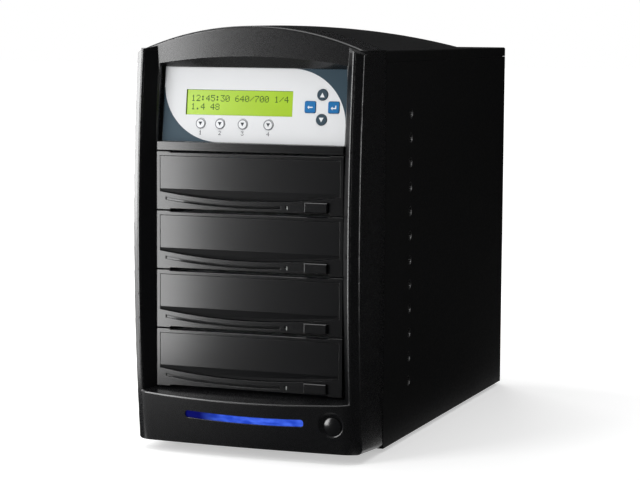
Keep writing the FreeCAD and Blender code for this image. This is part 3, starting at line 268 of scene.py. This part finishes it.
def backlit(name, colour, strength, rough, swing=0.05):
    """A face that glows in its own colour, a little uneven: the display's lit window and the drives' pale
    lamp lenses.
    """
    shader = Shader(name)
    cloud = shader.noise(18 * MM)
    shade = shader.shades(cloud, colour, darkest=0.92, lightest=1.08)
    shader.put(Base_Color=shade, Emission_Color=shade, Emission_Strength=strength,
               Roughness=shader.span(cloud, rough - swing, rough + swing), Specular_IOR_Level=0.3)
    return shader.material


def light_strip(name, unlit, dim, bright):
    """Clear bar over blue lamps, unlit at its left end."""
    shader = Shader(name)
    lit = shader.span(shader.along_x(), 0.0, 1.0, start=-34 * MM, end=-14 * MM)
    glow = shader.noise(9 * MM, stretch=(1, 1, 3))
    spots = shader.blend(shader.span(glow, 0.0, 1.0, start=0.35, end=0.65), dim, bright)
    shade = shader.blend(lit, unlit, spots)
    shader.put(Base_Color=shade, Emission_Color=shade, Emission_Strength=0.55, Roughness=0.15,
               Normal=shader.round_off(0.6 * MM), Specular_IOR_Level=0.15)
    return shader.material


def steel(name, colour, rough):
    """Turned and plated steel."""
    shader = Shader(name)
    ring = shader.noise(0.4 * MM, detail=3)
    shader.put(Base_Color=shader.shades(ring, colour, darkest=0.8, lightest=1.15), Metallic=1.0,
               Roughness=shader.roughness(ring, rough, swing=0.08),
               Normal=shader.relief(ring, 0.01 * MM, shader.round_off(0.2 * MM)))
    return shader.material


# Every material, by the name of the record's slot or of the scene's own look.
BLACK = (0.0065, 0.0066, 0.0072)
PAINT = (0.0072, 0.0072, 0.0076)
SLATE = (0.035, 0.061, 0.082)
BLUE = (0.010, 0.145, 0.38)
PALE = (0.75, 0.76, 0.772)
LIME = (0.31, 0.49, 0.008)
KEY_CAP = dict(rough=0.42, grain=0.3 * MM, height=0.006 * MM, edge=0.2 * MM, level=0.12, rub=1.1)
WHITE_CAP = dict(KEY_CAP, rough=0.45, level=0.3, rub=1.0)

LOOK_TABLE = {
    "case_paint": (painted, dict(colour=PAINT, rough=0.55, level=0.03)),
    "plated_steel": (galvanised, dict(colour=(0.60, 0.61, 0.62))),
    "bezel_plastic": (moulded, dict(colour=BLACK, rough=0.26, grain=0.5 * MM, height=0.003 * MM,
                                    edge=0.5 * MM)),
    "flare_plastic": (moulded, dict(colour=BLACK, rough=0.35, grain=0.5 * MM, height=0.004 * MM,
                                    edge=0.5 * MM, level=0.02)),
    "dent_paint": (painted, dict(colour=PAINT, rough=0.34, level=0.5)),
    "drive_plastic": (moulded, dict(colour=BLACK, rough=0.225, grain=0.35 * MM, height=0.002 * MM,
                                    edge=0.3 * MM)),
    "tray_plastic": (moulded, dict(colour=(0.012, 0.012, 0.013), rough=0.45, grain=0.4 * MM,
                                   height=0.015 * MM)),
    "overlay_film": (film, dict(colour=PALE)),
    "dark_key": (moulded, dict(KEY_CAP, colour=SLATE)),
    "blue_key": (moulded, dict(KEY_CAP, colour=BLUE)),
    "white_key": (moulded, dict(WHITE_CAP, colour=PALE)),
    "circuit_board": (circuit, dict(mask=(0.012, 0.09, 0.035), track=(0.03, 0.20, 0.07))),
    "display_glass": (backlit, dict(colour=LIME, strength=0.12, rough=0.3)),
    "blue_light": (light_strip, dict(unlit=(0.001, 0.002, 0.08), dim=(0.012, 0.045, 0.42),
                                     bright=(0.045, 0.11, 0.62))),
    "button_plastic": (moulded, dict(colour=BLACK, rough=0.22, grain=0.5 * MM, height=0.004 * MM,
                                     edge=0.3 * MM)),
    "foot_rubber": (moulded, dict(colour=(0.012, 0.012, 0.012), rough=0.75, grain=0.6 * MM, height=0.04 * MM,
                                  level=0.3)),
    "screw_steel": (steel, dict(colour=(0.52, 0.52, 0.53), rough=0.3)),
    "fan_plastic": (moulded, dict(colour=(0.010, 0.010, 0.011), rough=0.42, grain=0.4 * MM,
                                  height=0.01 * MM)),
    "inlet_plastic": (moulded, dict(colour=(0.009, 0.009, 0.010), rough=0.38, grain=0.4 * MM,
                                    height=0.01 * MM)),
    "cable_sheath": (moulded, dict(colour=(0.014, 0.014, 0.015), rough=0.5, grain=0.8 * MM,
                                   height=0.03 * MM)),
    "ribbon_sheath": (moulded, dict(colour=(0.40, 0.022, 0.014), rough=0.42, grain=0.6 * MM,
                                    height=0.02 * MM)),
    "print_slate": (film, dict(colour=SLATE)),
    "print_dark": (film, dict(colour=(0.035, 0.04, 0.05))),
    "print_grey": (film, dict(colour=(0.17, 0.18, 0.20))),
    "print_white": (film, dict(colour=(0.78, 0.80, 0.82))),
    "display_ink": (film, dict(colour=(0.03, 0.085, 0.012))),
    "lamp_lens": (backlit, dict(colour=(0.30, 0.31, 0.30), strength=0.1, rough=0.15)),
}
LOOKS = {look: make(look + "_look", **amounts) for look, (make, amounts) in LOOK_TABLE.items()}


def dress_nodes():
    for node in nodes.values():
        for material_slot in node.material_slots:
            material_slot.material = LOOKS[material_slot.material.name.split(".")[0]]


# New pieces are meshes in the frame's own place, so none is moved after it is made.
SKIN_SHARP, BAR_SHARP, NEVER_SHARP = math.radians(50), math.radians(30), math.pi


def add_piece(name, verts, faces, look, body, sharp_from=None):
    """Flat faces, or smooth ones whose edges stay sharp where they turn by more than sharp_from."""
    mesh = bpy.data.meshes.new(name)
    mesh.from_pydata([tuple(v) for v in verts], [], faces)
    mesh.update()
    if sharp_from is not None:
        mesh.shade_smooth()
        mesh.set_sharp_from_angle(angle=sharp_from)
    mesh.materials.append(LOOKS[look])
    piece = bpy.data.objects.new(name, mesh)
    scene.collection.objects.link(piece)
    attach(piece, body)


class Solids:
    """Gathers prisms and flat rings into one mesh. Outlines run anticlockwise, seen from the front."""
    def __init__(self):
        self.verts = []
        self.faces = []

    def prism(self, outline, depth):
        start, count = len(self.verts), len(outline)
        self.verts += [Vector(p) for p in outline] + [Vector(p) + depth for p in outline]
        self.faces.append(tuple(range(start, start + count)))
        self.faces.append(tuple(range(start + 2 * count - 1, start + count - 1, -1)))
        for i in range(count):
            j = (i + 1) % count
            self.faces.append((start + j, start + i, start + count + i, start + count + j))

    def ring(self, outer, inner, depth):
        """A flat ring between two outlines of the same number of points."""
        start, count = len(self.verts), len(outer)
        for outline in (outer, inner):
            self.verts += [Vector(p) for p in outline] + [Vector(p) + depth for p in outline]
        a, b, c, d = start, start + count, start + 2 * count, start + 3 * count
        for i in range(count):
            j = (i + 1) % count
            self.faces += [(a + i, a + j, c + j, c + i), (b + j, b + i, d + i, d + j),
                           (a + j, a + i, b + i, b + j), (c + i, c + j, d + j, d + i)]


# The control panel leans back: a point on it is given by its x, its height up the panel and how far out.
LEAN = math.radians(7.25)
PANEL_UP = Vector((0, math.sin(LEAN), math.cos(LEAN)))
PANEL_OUT = Vector((0, -math.cos(LEAN), math.sin(LEAN)))
PANEL_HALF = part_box("control_overlay")[1].x
OVERLAY_THICK = 0.5 * MM
PANEL_FOOT = Vector((0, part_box("control_overlay")[0].y,
                     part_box("control_overlay")[0].z + OVERLAY_THICK * math.sin(LEAN)))
PANEL_HEIGHT = 55 * MM
PRINT_OUT, PRINT_SUNK = 0.06 * MM, 0.04 * MM
PRINT_THICK = PRINT_OUT + PRINT_SUNK


def on_panel(x, up, out=0.0):
    return PANEL_FOOT + Vector((x, 0, 0)) + up * PANEL_UP + out * PANEL_OUT


def key_centre(node):
    """The x and panel height of the middle of a key's cap."""
    low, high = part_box(node)
    middle = (low + high) / 2 - PANEL_FOOT
    return middle.x, middle.dot(PANEL_UP)


def cap_print(node):
    """How far out of the overlay a print on a key's cap reaches."""
    return max((v.co - PANEL_FOOT).dot(PANEL_OUT) for v in nodes[node].data.vertices) + PRINT_OUT


def printed(name, outlines, look, body, face=PRINT_OUT, thick=PRINT_THICK):
    """Thin prisms from outlines of (x, up) points, whose fronts are at face out of the overlay."""
    solids = Solids()
    for outline in outlines:
        solids.prism([on_panel(x, up, face) for x, up in outline], -thick * PANEL_OUT)
    add_piece(name, solids.verts, solids.faces, look, body)


def rectangle(x, up, half_width, half_height):
    return [(x - half_width, up - half_height), (x + half_width, up - half_height),
            (x + half_width, up + half_height), (x - half_width, up + half_height)]


def arc(centre, radii, start, end, steps=40):
    """Points of an ellipse from the start angle to the end angle, in degrees."""
    turns = [math.radians(start + (end - start) * i / steps) for i in range(steps + 1)]
    return [(centre[0] + radii[0] * math.cos(a), centre[1] + radii[1] * math.sin(a)) for a in turns]


# The slate corners of the panel, each cut off by an arc.
CORNER_INSET = 0.05 * MM
LOW_ARC = dict(centre=(-27 * MM, 42.6 * MM), radii=(44.2 * MM, 42.5 * MM), start=268, end=184)
HIGH_ARC = dict(centre=(28 * MM, 14.2 * MM), radii=(43.4 * MM, 40.7 * MM), start=88, end=2)


def panel_corners():
    side, top = PANEL_HALF - CORNER_INSET, PANEL_HEIGHT - CORNER_INSET
    low, high = arc(**LOW_ARC), arc(**HIGH_ARC)
    left = [(-side, CORNER_INSET)] + low + [(-side, low[-1][1])]
    right = [(side, top)] + high + [(side, high[-1][1])]
    for name, outline in (("left", left), ("right", right)):
        printed("overlay_corner_" + name, [outline], "print_slate", "case")


# The marks on the keys: triangles, rings and arrows.
ROUND_KEY_MARK, FUNCTION_KEY_MARK = (3.6 * MM, 3.4 * MM), (3.0 * MM, 2.7 * MM)
RING_RADII, RING_STEPS = (3.62 * MM, 3.05 * MM), 48
SHAFT_HALF, ARROW_HEAD, ARROW_REACH = 0.42 * MM, 1.35 * MM, 2.1 * MM
HOOK_RISE, HOOK_DROP = 2.1 * MM, 0.5 * MM


def triangle(centre, size, point):
    """A triangle that points up, or down for a point of -1."""
    (x, up), (width, height) = centre, size
    return [(x - width / 2, up - point * height / 2), (x + width / 2, up - point * height / 2),
            (x, up + point * height / 2)][::point]


def key_marks():
    for name, point in (("key_up", 1), ("key_down", -1)):
        printed(name + "_mark", [triangle(key_centre(name), ROUND_KEY_MARK, point)], "print_white", name,
                cap_print(name))
    for number in FUNCTIONS:
        name = "key_function_%d" % number
        printed(name + "_mark", [triangle(key_centre(name), FUNCTION_KEY_MARK, -1)], "print_dark", name,
                cap_print(name))
        key_ring(name)
    arrow("key_escape", 0.0, [(0.0, SHAFT_HALF)])
    arrow("key_enter", HOOK_DROP, [(0.0, HOOK_RISE), (-2 * SHAFT_HALF, HOOK_RISE),
                                   (-2 * SHAFT_HALF, SHAFT_HALF)])


def key_ring(name):
    solids = Solids()
    outer, inner = ([on_panel(x, up, cap_print(name)) for x, up in
                     arc(key_centre(name), (radius, radius), 0, 360, RING_STEPS)[:-1]]
                    for radius in RING_RADII)
    solids.ring(outer, inner, -PRINT_THICK * PANEL_OUT)
    add_piece(name + "_ring", solids.verts, solids.faces, "print_grey", name)


def arrow(name, drop, tail):
    """A plain arrow to the left on a blue key. The tail's points are given from the shaft's right end."""
    x, up = key_centre(name)
    up -= drop
    tip, neck, end = x - ARROW_REACH, x - ARROW_REACH + ARROW_HEAD, x + ARROW_REACH
    outline = [(tip, up), (neck, up - ARROW_HEAD), (neck, up - SHAFT_HALF), (end, up - SHAFT_HALF)]
    outline += [(end + along, up + above) for along, above in tail]
    outline += [(neck, up + SHAFT_HALF), (neck, up + ARROW_HEAD)]
    printed(name + "_mark", [outline], "print_white", name, cap_print(name))


# Dot-matrix characters, seven rows of five dots, each row as a number.
GLYPHS = {
    "0": (14, 17, 19, 21, 25, 17, 14), "1": (4, 12, 4, 4, 4, 4, 14), "2": (14, 17, 1, 2, 4, 8, 31),
    "3": (31, 2, 4, 2, 1, 17, 14), "4": (2, 6, 10, 18, 31, 2, 2), "5": (31, 16, 30, 1, 1, 17, 14),
    "6": (6, 8, 16, 30, 17, 17, 14), "7": (31, 1, 2, 4, 8, 8, 8), "8": (14, 17, 17, 14, 17, 17, 14),
    ":": (0, 12, 12, 0, 12, 12, 0), "/": (0, 1, 2, 4, 8, 16, 0), ".": (0, 0, 0, 0, 0, 12, 12),
    " ": (0, 0, 0, 0, 0, 0, 0),
}
GLYPH_COLUMNS, MIDDLE_COLUMN, MIDDLE_ROW = 5, 2, 3
DISPLAY_ROWS = ("12:45:30 640/700 1/4", "1.4 48")
DISPLAY_X, DISPLAY_UP = -11.8 * MM, 29.2 * MM
DISPLAY_WIDTH, DISPLAY_HEIGHT, DISPLAY_GAP = 84.0 * MM, 18.6 * MM, 0.15 * MM
WINDOW_FACE, WINDOW_THICK = -1.15 * MM, 0.3 * MM
DOT_PITCH, DOT_SHARE, DOT_OUT, DOT_THICK = 0.66 * MM, 0.96, 0.03 * MM, 0.05 * MM
TEXT_LEFT, COLUMN_PITCH, ROW_PITCH = -38.0 * MM, 3.86 * MM, 6.2 * MM
NUMBER_DROP, NUMBER_PITCH = 6.6 * MM, 0.42 * MM


def glyph_dots(character):
    """The column and the height above the middle row of each dot of a character."""
    for row, bits in enumerate(GLYPHS[character]):
        for column in range(GLYPH_COLUMNS):
            if bits >> (GLYPH_COLUMNS - 1 - column) & 1:
                yield column, MIDDLE_ROW - row


def display():
    """The lit window in front of the display glass, and its dots."""
    pane = rectangle(DISPLAY_X, DISPLAY_UP, DISPLAY_WIDTH / 2 - DISPLAY_GAP, DISPLAY_HEIGHT / 2 - DISPLAY_GAP)
    printed("display_window", [pane], "display_glass", "case", WINDOW_FACE, WINDOW_THICK)
    half = DOT_PITCH * DOT_SHARE / 2
    squares = []
    for row, line in enumerate(DISPLAY_ROWS):
        middle = DISPLAY_UP + ROW_PITCH / 2 - row * ROW_PITCH
        for place, character in enumerate(line):
            left = DISPLAY_X + TEXT_LEFT + place * COLUMN_PITCH
            squares += [rectangle(left + column * DOT_PITCH, middle + above * DOT_PITCH, half, half)
                        for column, above in glyph_dots(character)]
    printed("display_dots", squares, "display_ink", "case", WINDOW_FACE + DOT_OUT, DOT_THICK)


def key_numbers():
    """A small plain number under each function key, in the display's own characters."""
    squares = []
    for number in FUNCTIONS:
        x, up = key_centre("key_function_%d" % number)
        squares += [rectangle(x + (column - MIDDLE_COLUMN) * NUMBER_PITCH,
                              up - NUMBER_DROP + above * NUMBER_PITCH, NUMBER_PITCH / 2, NUMBER_PITCH / 2)
                    for column, above in glyph_dots(str(number))]
    printed("key_numbers", squares, "print_dark", "case")


# The rounded inner edges and the flared faces of the two posts, laid over the bezel's own as even skins.
EDGE_CENTRE = (82.01 * MM, FACE_Y - 11.06 * MM)
EDGE_RADIUS, EDGE_SKIN = 1.81 * MM, 0.3 * MM
EDGE_FROM, EDGE_TO, EDGE_TURNS = -60.0, 42.0, 20
FLARE_RUN, FLARE_DEPTH = 6.2 * MM, 10.4 * MM
BOW_RADIUS, BOW_UP = 1.162, BAY_BOTTOM + 110 * MM
EDGE_LOW, EDGE_HIGH, EDGE_STEPS = 46 * MM, 296 * MM, 100


def post_edges():
    turns = [math.radians(EDGE_FROM + (EDGE_TO - EDGE_FROM) * i / EDGE_TURNS) for i in range(EDGE_TURNS + 1)]
    round_edge = []
    for radius, angles in ((EDGE_RADIUS, turns), (EDGE_RADIUS - EDGE_SKIN, turns[::-1])):
        round_edge += [(EDGE_CENTRE[0] + radius * math.sin(a), EDGE_CENTRE[1] - radius * math.cos(a))
                       for a in angles]
    near, far = round_edge[0], (round_edge[0][0] - FLARE_RUN, round_edge[0][1] + FLARE_DEPTH)
    flare = [far, near, (near[0] + EDGE_SKIN, near[1]), (far[0] + EDGE_SKIN, far[1])]
    for side, hand in HANDS:
        sweep("post_edge_" + side, round_edge, hand, "bezel_plastic")
        sweep("post_flare_" + side, flare, hand, "flare_plastic")


def sweep(name, section, hand, look):
    """A section of (x, y) points drawn up along the bow of the front, mirrored by a hand of -1."""
    verts, faces, count = [], [], len(section)
    for step in range(EDGE_STEPS + 1):
        up = EDGE_LOW + (EDGE_HIGH - EDGE_LOW) * step / EDGE_STEPS
        bow = BOW_RADIUS - math.sqrt(BOW_RADIUS ** 2 - (up - BOW_UP) ** 2)
        verts += [(hand * x, y + bow, up) for x, y in section]
    for step in range(EDGE_STEPS):
        for i in range(count):
            a, b = step * count + i, step * count + (i + 1) % count
            faces.append((a, b, b + count, a + count)[::hand])
    faces.append(tuple(range(count))[::-hand])
    faces.append(tuple(range(EDGE_STEPS * count, (EDGE_STEPS + 1) * count))[::hand])
    add_piece(name, verts, faces, look, "case", SKIN_SHARP)


# The pressed dents down each side panel, laid over the panel's own in a glossier coat.
DENT_COUNT, DENT_PITCH = 12, 18.6 * MM
DENT_Y, DENT_HIGH = FACE_Y + 107.5 * MM, 249.4 * MM
DENT_RADIUS, DENT_DEPTH, DENT_SKIN, DENT_BACK = 4.0 * MM, 1.2 * MM, 0.03 * MM, 0.2 * MM
DENT_AROUND, DENT_RINGS = 32, 8


def side_dents():
    sphere = (DENT_RADIUS ** 2 + DENT_DEPTH ** 2) / (2 * DENT_DEPTH)
    panel_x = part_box("right_side_panel")[1].x
    middle_x = panel_x + sphere - DENT_DEPTH
    reach = math.acos((middle_x - panel_x) / (sphere - DENT_SKIN))
    for side, hand in HANDS:
        verts, faces = [], []
        for index in range(DENT_COUNT):
            faces += dent_faces(len(verts), hand)
            for radius in (sphere - DENT_SKIN, sphere + DENT_BACK):
                verts += cap_points((middle_x, DENT_Y, DENT_HIGH - index * DENT_PITCH), radius, reach, hand)
        add_piece("side_dents_" + side, verts, faces, "dent_paint", "case", SKIN_SHARP)


def cap_points(centre, radius, reach, hand):
    """The part of a sphere within the reach, in rings from its middle outwards, and then the middle."""
    points = []
    for ring in range(1, DENT_RINGS + 1):
        tilt = reach * ring / DENT_RINGS
        for turn in (2 * math.pi * step / DENT_AROUND for step in range(DENT_AROUND)):
            points.append((hand * (centre[0] - radius * math.cos(tilt)),
                           centre[1] + radius * math.sin(tilt) * math.cos(turn),
                           centre[2] + radius * math.sin(tilt) * math.sin(turn)))
    return points + [(hand * (centre[0] - radius), centre[1], centre[2])]


def dent_faces(start, hand):
    """The faces of one dent's front and back caps and the rim between them."""
    faces = []
    layer = DENT_AROUND * DENT_RINGS + 1
    rim = start + (DENT_RINGS - 1) * DENT_AROUND
    for step in range(DENT_AROUND):
        after = (step + 1) % DENT_AROUND
        for base, way in ((start, -hand), (start + layer, hand)):
            faces.append((base + step, base + after, base + layer - 1)[::-way])
            for ring in range(DENT_RINGS - 1):
                a, b = base + ring * DENT_AROUND + step, base + ring * DENT_AROUND + after
                faces.append((a, b, b + DENT_AROUND, a + DENT_AROUND)[::way])
        faces.append((rim + step, rim + after, rim + layer + after, rim + layer + step)[::-hand])
    return faces


# The bar in each drive's curved groove: level at its left end, then turned down.
GROOVE_LEFT, GROOVE_RIGHT, GROOVE_BELOW = -65.4 * MM, 24.6 * MM, 4.2 * MM
STRIP_RADIUS, STRIP_LOW = 0.5054, 8.1 * MM
BEZEL_FOOT = 0.35 * MM
BAR_HALF, BAR_BACK, BAR_STEPS, BAR_SIDES = 0.8 * MM, 1.18 * MM, 60, 4
BAR_LEVEL, BAR_TOP, BAR_FOOT = 0.6 * MM, 0.12 * MM, 1.1 * MM
TURN_RUN = 32 * MM


def groove_bars():
    for number in DRIVES:
        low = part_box("drive_%d_bezel" % number)[0]
        verts, faces = [], []
        for step in range(BAR_STEPS + 1):
            verts += bar_section(low, GROOVE_LEFT + (GROOVE_RIGHT - GROOVE_LEFT) * step / BAR_STEPS)
        for step in range(BAR_STEPS):
            for i in range(BAR_SIDES):
                a, b = step * BAR_SIDES + i, step * BAR_SIDES + (i + 1) % BAR_SIDES
                faces.append((a, b, b + BAR_SIDES, a + BAR_SIDES))
        faces.append(tuple(range(BAR_SIDES))[::-1])
        faces.append(tuple(range(BAR_STEPS * BAR_SIDES, (BAR_STEPS + 1) * BAR_SIDES)))
        add_piece("drive_%d_groove_bar" % number, verts, faces, "drive_plastic", "case",
                  BAR_SHARP)


def bar_section(low, x):
    """The bar's corners at x, on a drive face whose low corner is given: its front's two, then its back's."""
    middle = low.z - BEZEL_FOOT + STRIP_LOW + STRIP_RADIUS - math.sqrt(STRIP_RADIUS ** 2 - x ** 2)
    top, foot = middle - GROOVE_BELOW + BAR_HALF, middle - GROOVE_BELOW - BAR_HALF
    share = min(1.0, (x - GROOVE_LEFT) / TURN_RUN)
    turn = share * share * (3 - 2 * share)
    return [(x, low.y + BAR_LEVEL + (BAR_TOP - BAR_LEVEL) * turn, top),
            (x, low.y + BAR_LEVEL + (BAR_FOOT - BAR_LEVEL) * turn, foot),
            (x, low.y + BAR_BACK, foot), (x, low.y + BAR_BACK, top)]


# Lamp lenses: a slim upright oval beside each eject button, whose pale grey glows faintly as a small bright
# mark.
LENS_X, LENS_UP = 30.2 * MM, 4.3 * MM
LENS_HALF_WIDTH, LENS_HALF_HEIGHT, LENS_RISE = 0.45 * MM, 1.6 * MM, 0.4 * MM
LENS_AROUND, LENS_RINGS = 24, 5


def lamp_lenses():
    for number in DRIVES:
        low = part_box("drive_%d_bezel" % number)[0]
        verts, faces = lens(Vector((LENS_X, low.y, low.z + LENS_UP)))
        add_piece("drive_%d_lamp_lens" % number, verts, faces, "lamp_lens", "case",
                  NEVER_SHARP)


def lens(centre):
    """A closed oval dome that bulges towards the front."""
    verts, faces = [], []
    for ring in range(LENS_RINGS):
        tilt = math.pi / 2 * ring / LENS_RINGS
        for turn in (2 * math.pi * step / LENS_AROUND for step in range(LENS_AROUND)):
            verts.append(centre + Vector((LENS_HALF_WIDTH * math.cos(tilt) * math.cos(turn),
                                          -LENS_RISE * math.sin(tilt),
                                          LENS_HALF_HEIGHT * math.cos(tilt) * math.sin(turn))))
    top, back = len(verts), len(verts) + 1
    verts += [centre + Vector((0, -LENS_RISE, 0)), centre + Vector((0, LENS_RISE / 2, 0))]
    last = (LENS_RINGS - 1) * LENS_AROUND
    for step in range(LENS_AROUND):
        after = (step + 1) % LENS_AROUND
        for ring in range(LENS_RINGS - 1):
            a, b = ring * LENS_AROUND + step, ring * LENS_AROUND + after
            faces.append((a, b, b + LENS_AROUND, a + LENS_AROUND))
        faces.append((last + step, last + after, top))
        faces.append((after, step, back))
    return verts, faces


# The studio: a pale floor and white surroundings, soft boxes round the object, and black cards beyond them.
WHITE = (1, 1, 1, 1)
WORLD_STRENGTH = 0.28
FLOOR_HALF, FLOOR_GREY = 12, (0.8, 0.8, 0.8)
FLOOR_GLOW = dict(low=0.45, high=1.0, start=0.4, end=2.4)
AIM_Y = FACE_Y + 50 * MM


def show_white(tree, plain, white):
    """Mixes to white for the rays that show the background: seen, mirrored or through glass."""
    path = tree.nodes.new("ShaderNodeLightPath")
    shown = path.outputs["Is Camera Ray"]
    for ray in ("Is Glossy Ray", "Is Transmission Ray"):
        either = tree.nodes.new("ShaderNodeMath")
        either.operation = "MAXIMUM"
        tree.links.new(shown, either.inputs[0])
        tree.links.new(path.outputs[ray], either.inputs[1])
        shown = either.outputs[0]
    mix = tree.nodes.new("ShaderNodeMixShader")
    tree.links.new(shown, mix.inputs["Fac"])
    tree.links.new(plain, mix.inputs[1])
    tree.links.new(white, mix.inputs[2])
    return mix.outputs["Shader"]


def add_world():
    world = bpy.data.worlds.new("studio")
    world.use_nodes = True
    tree = world.node_tree
    plain = tree.nodes["Background"]
    white = tree.nodes.new("ShaderNodeBackground")
    for background, strength in ((plain, WORLD_STRENGTH), (white, 1.0)):
        background.inputs["Color"].default_value = WHITE
        background.inputs["Strength"].default_value = strength
    shown = show_white(tree, plain.outputs["Background"], white.outputs["Background"])
    tree.links.new(shown, tree.nodes["World Output"].inputs["Surface"])
    world.cycles.sampling_method = "NONE"
    scene.world = world


def stage_plane(name, corners, material):
    mesh = bpy.data.meshes.new(name)
    mesh.from_pydata(corners, [], [tuple(range(len(corners)))])
    mesh.materials.append(material)
    plane = bpy.data.objects.new(name, mesh)
    scene.collection.objects.link(plane)
    return plane


def add_floor():
    """Matt pale grey, which the rays that show the background see as white with the object's shadow."""
    shader = Shader("floor_look")
    shader.put(Base_Color=FLOOR_GREY, Roughness=1.0, Specular_IOR_Level=0.0)
    away = shader.tree.nodes.new("ShaderNodeVectorMath")
    away.operation = "LENGTH"
    shader.link(shader.place, away.inputs[0])
    glow = shader.tree.nodes.new("ShaderNodeEmission")
    shader.link(shader.span(away.outputs["Value"], **FLOOR_GLOW), glow.inputs["Strength"])
    lit = shader.tree.nodes.new("ShaderNodeAddShader")
    matt = shader.surface.outputs["BSDF"]
    shader.link(matt, lit.inputs[0])
    shader.link(glow.outputs["Emission"], lit.inputs[1])
    shown = show_white(shader.tree, matt, lit.outputs["Shader"])
    shader.link(shown, shader.tree.nodes["Material Output"].inputs["Surface"])
    shader.material.cycles.emission_sampling = "NONE"
    stage_plane("floor", [(x, y, 0) for x, y in rectangle(0, 0, FLOOR_HALF, FLOOR_HALF)], shader.material)


def from_front(azimuth, distance):
    """The x and y of a place at an azimuth in degrees, round from the middle of the front."""
    turn = math.radians(azimuth)
    return math.sin(turn) * distance, FACE_Y - math.cos(turn) * distance


def add_softbox(name, azimuth, distance, height, width, tall, power, level=True, gloss=True, diffuse=True):
    data = bpy.data.lights.new(name, "AREA")
    data.shape = "RECTANGLE"
    data.size = width
    data.size_y = tall
    data.energy = power
    light = bpy.data.objects.new(name, data)
    place = Vector((*from_front(azimuth, distance), height))
    target = Vector((0, AIM_Y, height if level else 0))
    facing = (target - place).to_track_quat("-Z", "Y").to_matrix().to_4x4()
    light.matrix_world = Matrix.Translation(place) @ facing
    scene.collection.objects.link(light)
    light.visible_camera = False
    light.visible_glossy = gloss
    light.visible_diffuse = diffuse


# Black cards that only reflections see, as a studio puts round a glossy black object.
CARD_AWAY, CARD_STRIPS = 2.1, 12
CARD_FROM, CARD_TO, CARD_STEP = -75, 178, 5
BACK_CARD_FROM, BACK_CARD_TO = 182, 230
CARD_HIGH, BACK_CARD_HIGH = 2.6, 1.8
CARD_BLACK = 0.004
CARD_FADE = dict(low=0.30, high=CARD_BLACK, start=-0.16, end=0.02)
CARD_UP, NEAR_CARD_UP = 1 * MM, 2 * MM
CARD_FRONT = FACE_Y - 12 * MM
LOW_CARD_INNER = [(0.1, 0.2), (0.1, CARD_FRONT), (-0.1, CARD_FRONT)]
NEAR_CARD = [(-0.22, FACE_Y - 0.30), (0.06, FACE_Y - 0.30), (0.06, CARD_FRONT), (-0.22, CARD_FRONT)]
CORNER_CARD = [(-0.09, FACE_Y + 0.2), (-0.09, FACE_Y - 0.004),
               (-0.30, FACE_Y - 0.01), (-0.30, FACE_Y + 0.2)]


def card_look(name):
    """Matt black, without any gloss."""
    shader = Shader(name)
    shader.put(Base_Color=(CARD_BLACK,) * 3, Roughness=1.0, Specular_IOR_Level=0.0)
    return shader


def add_flags():
    """Walls round the object and cards on the floor. The one near the front is grey at its left."""
    black = card_look("flag_look").material
    fading = card_look("fading_flag_look")
    fading.put(Base_Color=fading.span(fading.along_x(), **CARD_FADE))
    around = [from_front(azimuth, CARD_AWAY) for azimuth in range(CARD_FROM, CARD_TO + 1, CARD_STEP)]
    cards = wall("flag", CARD_FROM, CARD_TO, CARD_HIGH, black)
    cards += wall("flag_back", BACK_CARD_FROM, BACK_CARD_TO, BACK_CARD_HIGH, black)
    for name, outline, up, material in (("flag_low", around + LOW_CARD_INNER, CARD_UP, black),
                                        ("flag_near", NEAR_CARD, NEAR_CARD_UP, fading.material),
                                        ("flag_corner", CORNER_CARD, CARD_UP, black)):
        cards.append(stage_plane(name, [(x, y, up) for x, y in outline], material))
    for card in cards:
        card.visible_camera = False
        card.visible_diffuse = False
        card.visible_transmission = False
        card.visible_shadow = False


def wall(name, start, end, high, material):
    """Upright cards side by side on a circle, from the start azimuth to the end."""
    around = [from_front(start + (end - start) * i / CARD_STRIPS, CARD_AWAY) for i in range(CARD_STRIPS + 1)]
    return [stage_plane("%s_%02d" % (name, i), [(*a, 0), (*b, 0), (*b, high), (*a, high)], material)
            for i, (a, b) in enumerate(zip(around, around[1:]))]


scene.view_settings.view_transform = "Standard"
add_camera()
add_world()
add_floor()
add_softbox("soft_left_front", azimuth=-36, distance=1.4, height=0.60, width=0.62, tall=1.15, power=14.5,
            gloss=False)
add_softbox("sheen", azimuth=-50.2, distance=0.354, height=0.262, width=0.23, tall=0.50, power=3.9,
            diffuse=False)
add_softbox("soft_left", azimuth=-102, distance=1.3, height=0.60, width=0.50, tall=1.1, power=11.0)
add_softbox("soft_above", azimuth=0, distance=0.15, height=1.7, width=1.2, tall=1.2, power=12.0, level=False)
add_softbox("edge_right", azimuth=117, distance=1.5, height=0.62, width=0.42, tall=1.1, power=8.0,
            diffuse=False)
add_softbox("soft_back", azimuth=205, distance=1.5, height=0.75, width=0.8, tall=1.0, power=9.0, gloss=False)
add_flags()
dress_nodes()
panel_corners()
key_marks()
display()
key_numbers()
lamp_lenses()
post_edges()
groove_bars()
side_dents()
